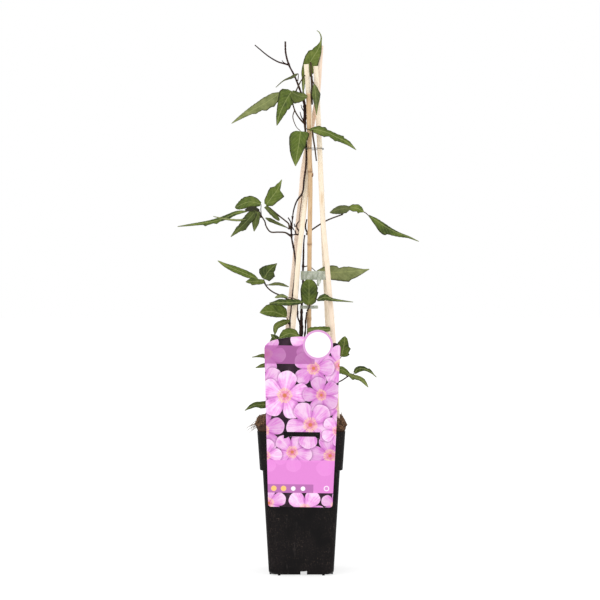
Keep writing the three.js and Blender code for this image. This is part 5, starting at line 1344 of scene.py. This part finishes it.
         "right": [(0, 1), (30, 4.4), (60, 4.6), (85, 2.6), (100, 0.4)], "face": (-0.2, -1, 0.2),
         "dark": 0.1},
    ]},
    "leaf_behind_lobe": {"leaflets": [
        {"stalk": [(3.6, -7, 282), (5.6, -13, 292), (7.4, -17.6, 299)],
         "rib": [(7.6, -20.6, 304), (20, -25, 305.4), (36, -30, 304.5)],
         "left": [(0, 2), (15, 3.6), (50, 4), (80, 4.4), (95, 4.4), (100, 2)],
         "right": [(0, 2), (30, 4), (70, 4), (100, 2)], "face": (0, -1, 0.6)},
    ]},
    "leaf_right_small": {
        "petiole": [(5, -5.6, 256), (18, -9, 260), (34, -12, 263), (46, -14, 265)],
        "leaflets": [
        {"stalk": [(45, -14, 264.8)],
         "rib": [(50.4, -15.6, 271), (53, -18, 282), (54.6, -21, 296.6)],
         "left": [(0, 2.4), (20, 5), (50, 7), (62, 9.2), (72, 8), (86, 4.6), (94, 3), (100, 0.6)],
         "right": [(0, 3), (8, 7), (20, 9.6), (25, 7.8), (46, 9.4), (52, 6.8), (75, 5),
             (90, 3.6), (100, 0.6)], "face": (0.1, -1, 0.1), "dark": 0.05},
        {"stalk": [(34, -12, 262.8)],
         "rib": [(33, -15.5, 262.4), (30, -26, 258.6), (27, -37, 252)], "face": (0, -0.6, 0.9),
         "width": 6, "teeth": 1},
    ]},
    "leaf_low_right": {
        "petiole": [(1.4, 3, 216), (9, 5.4, 225), (20, 2, 231), (36, -4, 236), (48, -5, 239),
            (60, -6, 246.5)],
        "leaflets": [
        {"stalk": [(58, -6, 245.6)], "rib": [(60, -7.6, 249), (52, -12, 254), (44, -17, 255.5)],
         "left": [(0, 2.6), (30, 5), (60, 6.2), (85, 6), (100, 2.4)],
         "right": [(0, 2), (30, 3.4), (60, 4.4), (85, 4.4), (100, 2)], "face": (0, -1, 0.35),
         "dark": 0.15},
        {"stalk": [(60, -6, 246), (65, -7, 248)],
         "rib": [(67, -7.6, 250), (71.4, -9, 255), (79, -10.6, 255.4), (86.4, -12, 252),
             (94.5, -14, 245)],
         "left": [(0, 2), (15, 3.4), (40, 3.4), (55, 2), (62, 3.2), (74, 2), (85, 0.8),
             (100, 0.5)],
         "right": [(0, 2), (15, 4.4), (30, 4.6), (50, 2.4), (70, 1.6), (85, 0.8), (100, 0.5)],
         "face": (0.1, -1, 0.35)},
        {"stalk": [(57, -6.4, 246)],
         "rib": [(56, -8, 250.5), (66, -11, 245.4), (76, -16, 241.6), (84, -19, 232.6)],
         "left": [(0, 1), (20, 2.6), (45, 3.4), (70, 3.2), (85, 2), (100, 0.4)],
         "right": [(0, 1), (20, 3), (34, 4.8), (40, 2.8), (70, 2.6), (85, 1.8), (100, 0.4)],
         "face": (0, -1, 0.35), "pale": 0.3},
    ]},
    "leaf_beside_label": {
        "petiole": [(-6.4, 0.6, 234), (-18, -6, 246), (-30, -13, 258)],
        "leaflets": [
        {"stalk": [(-28, -12, 256)],
         "rib": [(-32, -14, 262), (-46, -18, 271.5), (-61.5, -23, 270.5)],
         "both": [(0, 1), (30, 3.6), (60, 3), (85, 1), (100, 0.5)], "face": (-0.1, -1, 0.5),
         "dark": 0.25},
        {"stalk": [(-28, -12, 256)],
         "rib": [(-32, -15, 259), (-44, -21, 260.5), (-57, -27, 257.5)],
         "left": [(0, 1), (30, 3.4), (70, 3.2), (100, 0.4)],
         "right": [(0, 1), (30, 3.4), (70, 2.8), (100, 0.4)], "face": (-0.1, -1, 0.5),
         "dark": 0.15},
        {"stalk": [(-28, -12, 256)],
         "rib": [(-31, -15, 268), (-36, -22, 282), (-35.6, -30, 296.4)],
         "both": [(0, 2), (40, 5.6), (60, 5), (80, 3.4), (92, 2), (100, 0.6)],
         "face": (-0.1, -1, -0.3), "pale": 0.4, "dark": 0.15},
    ]},
    "leaf_foot": {
        "petiole": [(-5.6, -2.6, 214), (-18, -14, 218), (-30, -26, 215)],
        "leaflets": [
        {"stalk": [(-28, -24.4, 215.4)],
         "rib": [(-34, -30, 212.6), (-48, -36, 212), (-60, -39, 210.6), (-70, -42, 205)],
         "left": [(0, 2), (20, 5), (45, 5.4), (60, 3), (80, 2.6), (92, 1), (100, 0.5)],
         "right": [(0, 2), (20, 4.6), (40, 4.2), (60, 4.4), (80, 2.6), (92, 1), (100, 0.5)],
         "face": (-0.1, -1, 0.35), "dark": 0.2},
        {"stalk": [(-28, -24.4, 215.4)],
         "rib": [(-31, -30, 217), (-36, -36, 226), (-38, -42, 238)], "face": (0.1, -0.9, -0.6),
         "width": 7, "teeth": 2},
        {"stalk": [(-28, -24.4, 215.4)],
         "rib": [(-30, -31, 214.4), (-22, -40, 213), (-12, -47, 209.4)], "face": (0, -0.4, 1),
         "width": 6, "teeth": 1},
    ]},
    "leaf_back": {
        "petiole": [(-5.7, 4.6, 240), (-8, 14, 256), (-9, 27, 268)],
        "leaflets": [
        {"stalk": [(-9, 25, 267)], "rib": [(-9, 30, 270), (-6, 45, 276), (0, 64, 274)],
         "face": (0, 0.5, 1), "width": 9, "teeth": 2},
        {"stalk": [(-9, 25, 267)], "rib": [(-13, 31, 268.6), (-26, 40, 271), (-40, 46, 266)],
         "face": (-0.2, 0.7, 0.9), "width": 8, "teeth": 2},
        {"stalk": [(-9, 25, 267)], "rib": [(-6, 30, 266), (8, 38, 262), (22, 44, 254)],
         "face": (0.2, 0.8, 0.8), "width": 7, "teeth": 2},
    ]},
}

bladeSizes = {
    "rows": 72, "columns": 6, "thickness": 0.34, "least": 0.16, "fold": 16, "camber": 0.16,
    "pucker": 0.28, "ripple": 0.9, "veinStep": 5.5, "veinSlant": 1.15, "widest": 0.34,
    "taper": 1.35, "toothStart": 0.2, "toothEnd": 0.88, "toothDepth": 0.22, "toothLean": 0.028,
}


def bladeShares(rows, side, teeth):
    # half width from base to tip as a share of the widest, and how far each tooth leans forward
    widest, taper = bladeSizes["widest"], bladeSizes["taper"]
    start, end = bladeSizes["toothStart"], bladeSizes["toothEnd"]
    rise = min(taper * widest / (1 - widest), 1)
    shares, leans = [], []
    for t in rows:
        wide = (max(t, 1e-4) / widest) ** rise * ((1 - t) / (1 - widest)) ** taper
        lean = 0
        if start < t < end:
            phase = (t - start) / (end - start) * (teeth + 1) + 0.25 * side
            saw = phase % 1
            climb = saw / 0.84 if saw < 0.84 else (1 - saw) / 0.16
            wide *= 1 + bladeSizes["toothDepth"] * (1.15 * climb - 0.75)
            lean = climb ** 3
        shares.append(max(wide, 0))
        leans.append(lean)
    return np.array(shares), np.array(leans)


def bladeMesh(name, leaflet, tint, seed):
    sizes = bladeSizes
    spots = smoothPath(leaflet["rib"], sizes["rows"])
    length = pathLength(spots)
    ahead = headings(spots)
    t = np.linspace(0, 1, sizes["rows"])
    faceStart = unit(np.array(leaflet["face"], float))
    faceEnd = unit(np.array(leaflet.get("tipFace", leaflet["face"]), float))
    facing = np.array([unit(faceStart * (1 - s) + faceEnd * s) for s in t])
    right = np.array([unit(np.cross(a, f)) for a, f in zip(ahead, facing)])
    normal = np.cross(right, ahead)
    lift = math.radians(leaflet.get("fold", sizes["fold"]))
    across = np.linspace(-1, 1, 2 * sizes["columns"] + 1)
    grid = np.zeros((sizes["rows"], len(across), 3))
    sides = {}
    for side, key in ((-1, "left"), (1, "right")):
        if "width" in leaflet:
            shares, leans = bladeShares(t, side, leaflet["teeth"])
            width = shares * leaflet["width"]
        else:
            marks, widths = np.array(leaflet.get(key) or leaflet["both"]).T
            width, leans = np.interp(t, marks / 100, widths), np.zeros(len(t))
        sides[side] = (np.maximum(width, sizes["least"]), leans)
    lateral = np.zeros((sizes["rows"], len(across)))
    for column, u in enumerate(across):
        width, leans = sides[1 if u > 0 else -1]
        reach = abs(u) * width
        phase = (t * length - sizes["veinSlant"] * reach) / sizes["veinStep"]
        pucker = sizes["pucker"] * np.cos(math.tau * phase) * 4 * abs(u) * (1 - abs(u) * 0.6)
        wobble = np.array([noise.noise(Vector((s * 5, u * 2, seed * 7.3))) for s in t])
        curl = (reach * math.sin(lift) - sizes["camber"] * reach * abs(u)
                + pucker * np.minimum(1, width / 6) * np.minimum(1, 4 * (1 - t))
                + sizes["ripple"] * wobble * u * u * np.minimum(1, width / 5))
        grid[:, column] = (spots + right * (np.sign(u) * reach * math.cos(lift))[:, None]
                           + normal * curl[:, None]
                           + ahead * (leans * abs(u) ** 4 * sizes["toothLean"] * length)[:, None])
        lateral[:, column] = np.sign(u) * reach
    half = sizes["thickness"] / 2
    rows, columns = sizes["rows"], len(across)
    top = (grid + normal[:, None] * half).reshape(-1, 3)
    low = (grid - normal[:, None] * half).reshape(-1, 3)
    under = rows * columns
    faces = []
    for row in range(rows - 1):
        for column in range(columns - 1):
            a = row * columns + column
            b, c, d = a + 1, a + columns + 1, a + columns
            faces.append((a, b, c, d))
            faces.append((under + d, under + c, under + b, under + a))
        a, b = row * columns, (row + 1) * columns
        faces.append((a, b, under + b, under + a))
        a, b = a + columns - 1, b + columns - 1
        faces.append((b, a, under + a, under + b))
    last = (rows - 1) * columns
    for a in range(columns - 1):
        faces.append((a + 1, a, under + a, under + a + 1))
        b = last + a
        faces.append((b, b + 1, under + b + 1, under + b))
    mesh = bpy.data.meshes.new(name)
    mesh.from_pydata([tuple(point * mm) for point in np.vstack([top, low])], [], faces)
    flat = np.stack([np.repeat(t * length / 10, columns), lateral.ravel() / 10], 1)
    flat = np.vstack([flat, flat])  # centimetres, the same on both sides of the blade
    corners = np.zeros(len(mesh.loops), int)
    mesh.loops.foreach_get("vertex_index", corners)
    mesh.uv_layers.new(name="blade").data.foreach_set("uv", flat[corners].ravel())
    floats(mesh, "edge", np.tile(np.tile(abs(across), rows), 2))
    floats(mesh, "under", np.repeat([leaflet.get("pale", 0.0), 1.0], under))
    floats(mesh, "dark", [leaflet.get("dark", 0.0)] * (2 * under))
    floats(mesh, "tint", [tint] * (2 * under))
    mesh.materials.append(finishes["leaf"])
    mesh.shade_smooth()
    return mesh, spots - normal * (half + 0.1)


# radii at the start and the end of each kind of stalk, and its steps
stalkSizes = {
    "petiole": (1.0, 0.85, 40), "tendril": (0.95, 0.65, 30), "stalk": (0.68, 0.42, 24),
    "rib": (0.42, 0.07), "foot": 0.4, "ribStart": 4, "ribEnd": -3,
}


def makeLeaf(name, leaf, seed):
    random = np.random.default_rng(seed)
    stout = leaf.get("stout", 1)
    sizes = stalkSizes
    meshes, twigs = [], []
    if "petiole" in leaf:
        steps = sizes["petiole"][2]
        foot = sizes["foot"] * np.exp(-np.linspace(0, 9, steps) ** 2)
        twigs.append((smoothPath(leaf["petiole"], steps), np.linspace(*sizes["petiole"]) + foot))
    if "tendril" in leaf:
        steps = sizes["tendril"][2]
        twigs.append((smoothPath(leaf["tendril"], steps), np.linspace(*sizes["tendril"]) * stout))
    for index, leaflet in enumerate(leaf["leaflets"]):
        tint = random.uniform(-0.16, 0.2) + leaflet.get("tint", 0)
        mesh, rib = bladeMesh(f"{name}Blade{index}", leaflet, tint, seed + index * 0.37)
        meshes.append(mesh)
        joint = [tuple(rib[0]), tuple(rib[sizes["ribStart"]])]
        lead = smoothPath(leaflet["stalk"] + joint, sizes["stalk"][2])[:-1]
        rib = rib[sizes["ribStart"]:sizes["ribEnd"]]
        thin = (np.linspace(*sizes["stalk"]) * stout)[:-1]
        radii = np.append(thin, np.linspace(*sizes["rib"], len(rib)))
        twigs.append((np.vstack([lead, rib]), radii))
    meshes.append(twigMesh(name + "Stalks", twigs, 8, finishes["stalk"]))
    settle(joinMeshes(name.replace("_", ""), meshes), "leaf", name)


for leafSeed, (leafName, leafSize) in enumerate(leafSizes.items()):
    makeLeaf(leafName, leafSize, leafSeed + 1)
print("leaves done:", len(leafSizes))


# Label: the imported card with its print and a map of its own

labelSizes = {"lean": 4, "tilt": 0.75, "front": 54.95, "rim": 179.4}


def makeLabel():
    lean, tilt = math.radians(labelSizes["lean"]), math.radians(labelSizes["tilt"])
    turn = Matrix.Rotation(lean, 3, "X") @ Matrix.Rotation(tilt, 3, "Y")
    origin = Vector((0, -labelSizes["front"], labelSizes["rim"])) * mm
    mesh = solidCopy("label")
    card = turn.transposed()
    local = [card @ (vertex.co - origin) for vertex in mesh.vertices]
    layer = mesh.uv_layers.new(name="card")
    for loop in mesh.loops:
        point = local[loop.vertex_index]
        layer.data[loop.index].uv = (point.x * 100, point.z * 100)
    front = [1.0 if (card @ face.normal).y < -0.9 and sum(local[v].y for v in face.vertices)
             / len(face.vertices) < -0.4 * mm else 0.0 for face in mesh.polygons]
    floats(mesh, "front", front, "FACE")
    piece = makeObject("labelCard", mesh, finishes["label"], smooth=False)
    settle(piece, "label_card", "label")


makeLabel()
print("label done")


print("pieces ready")
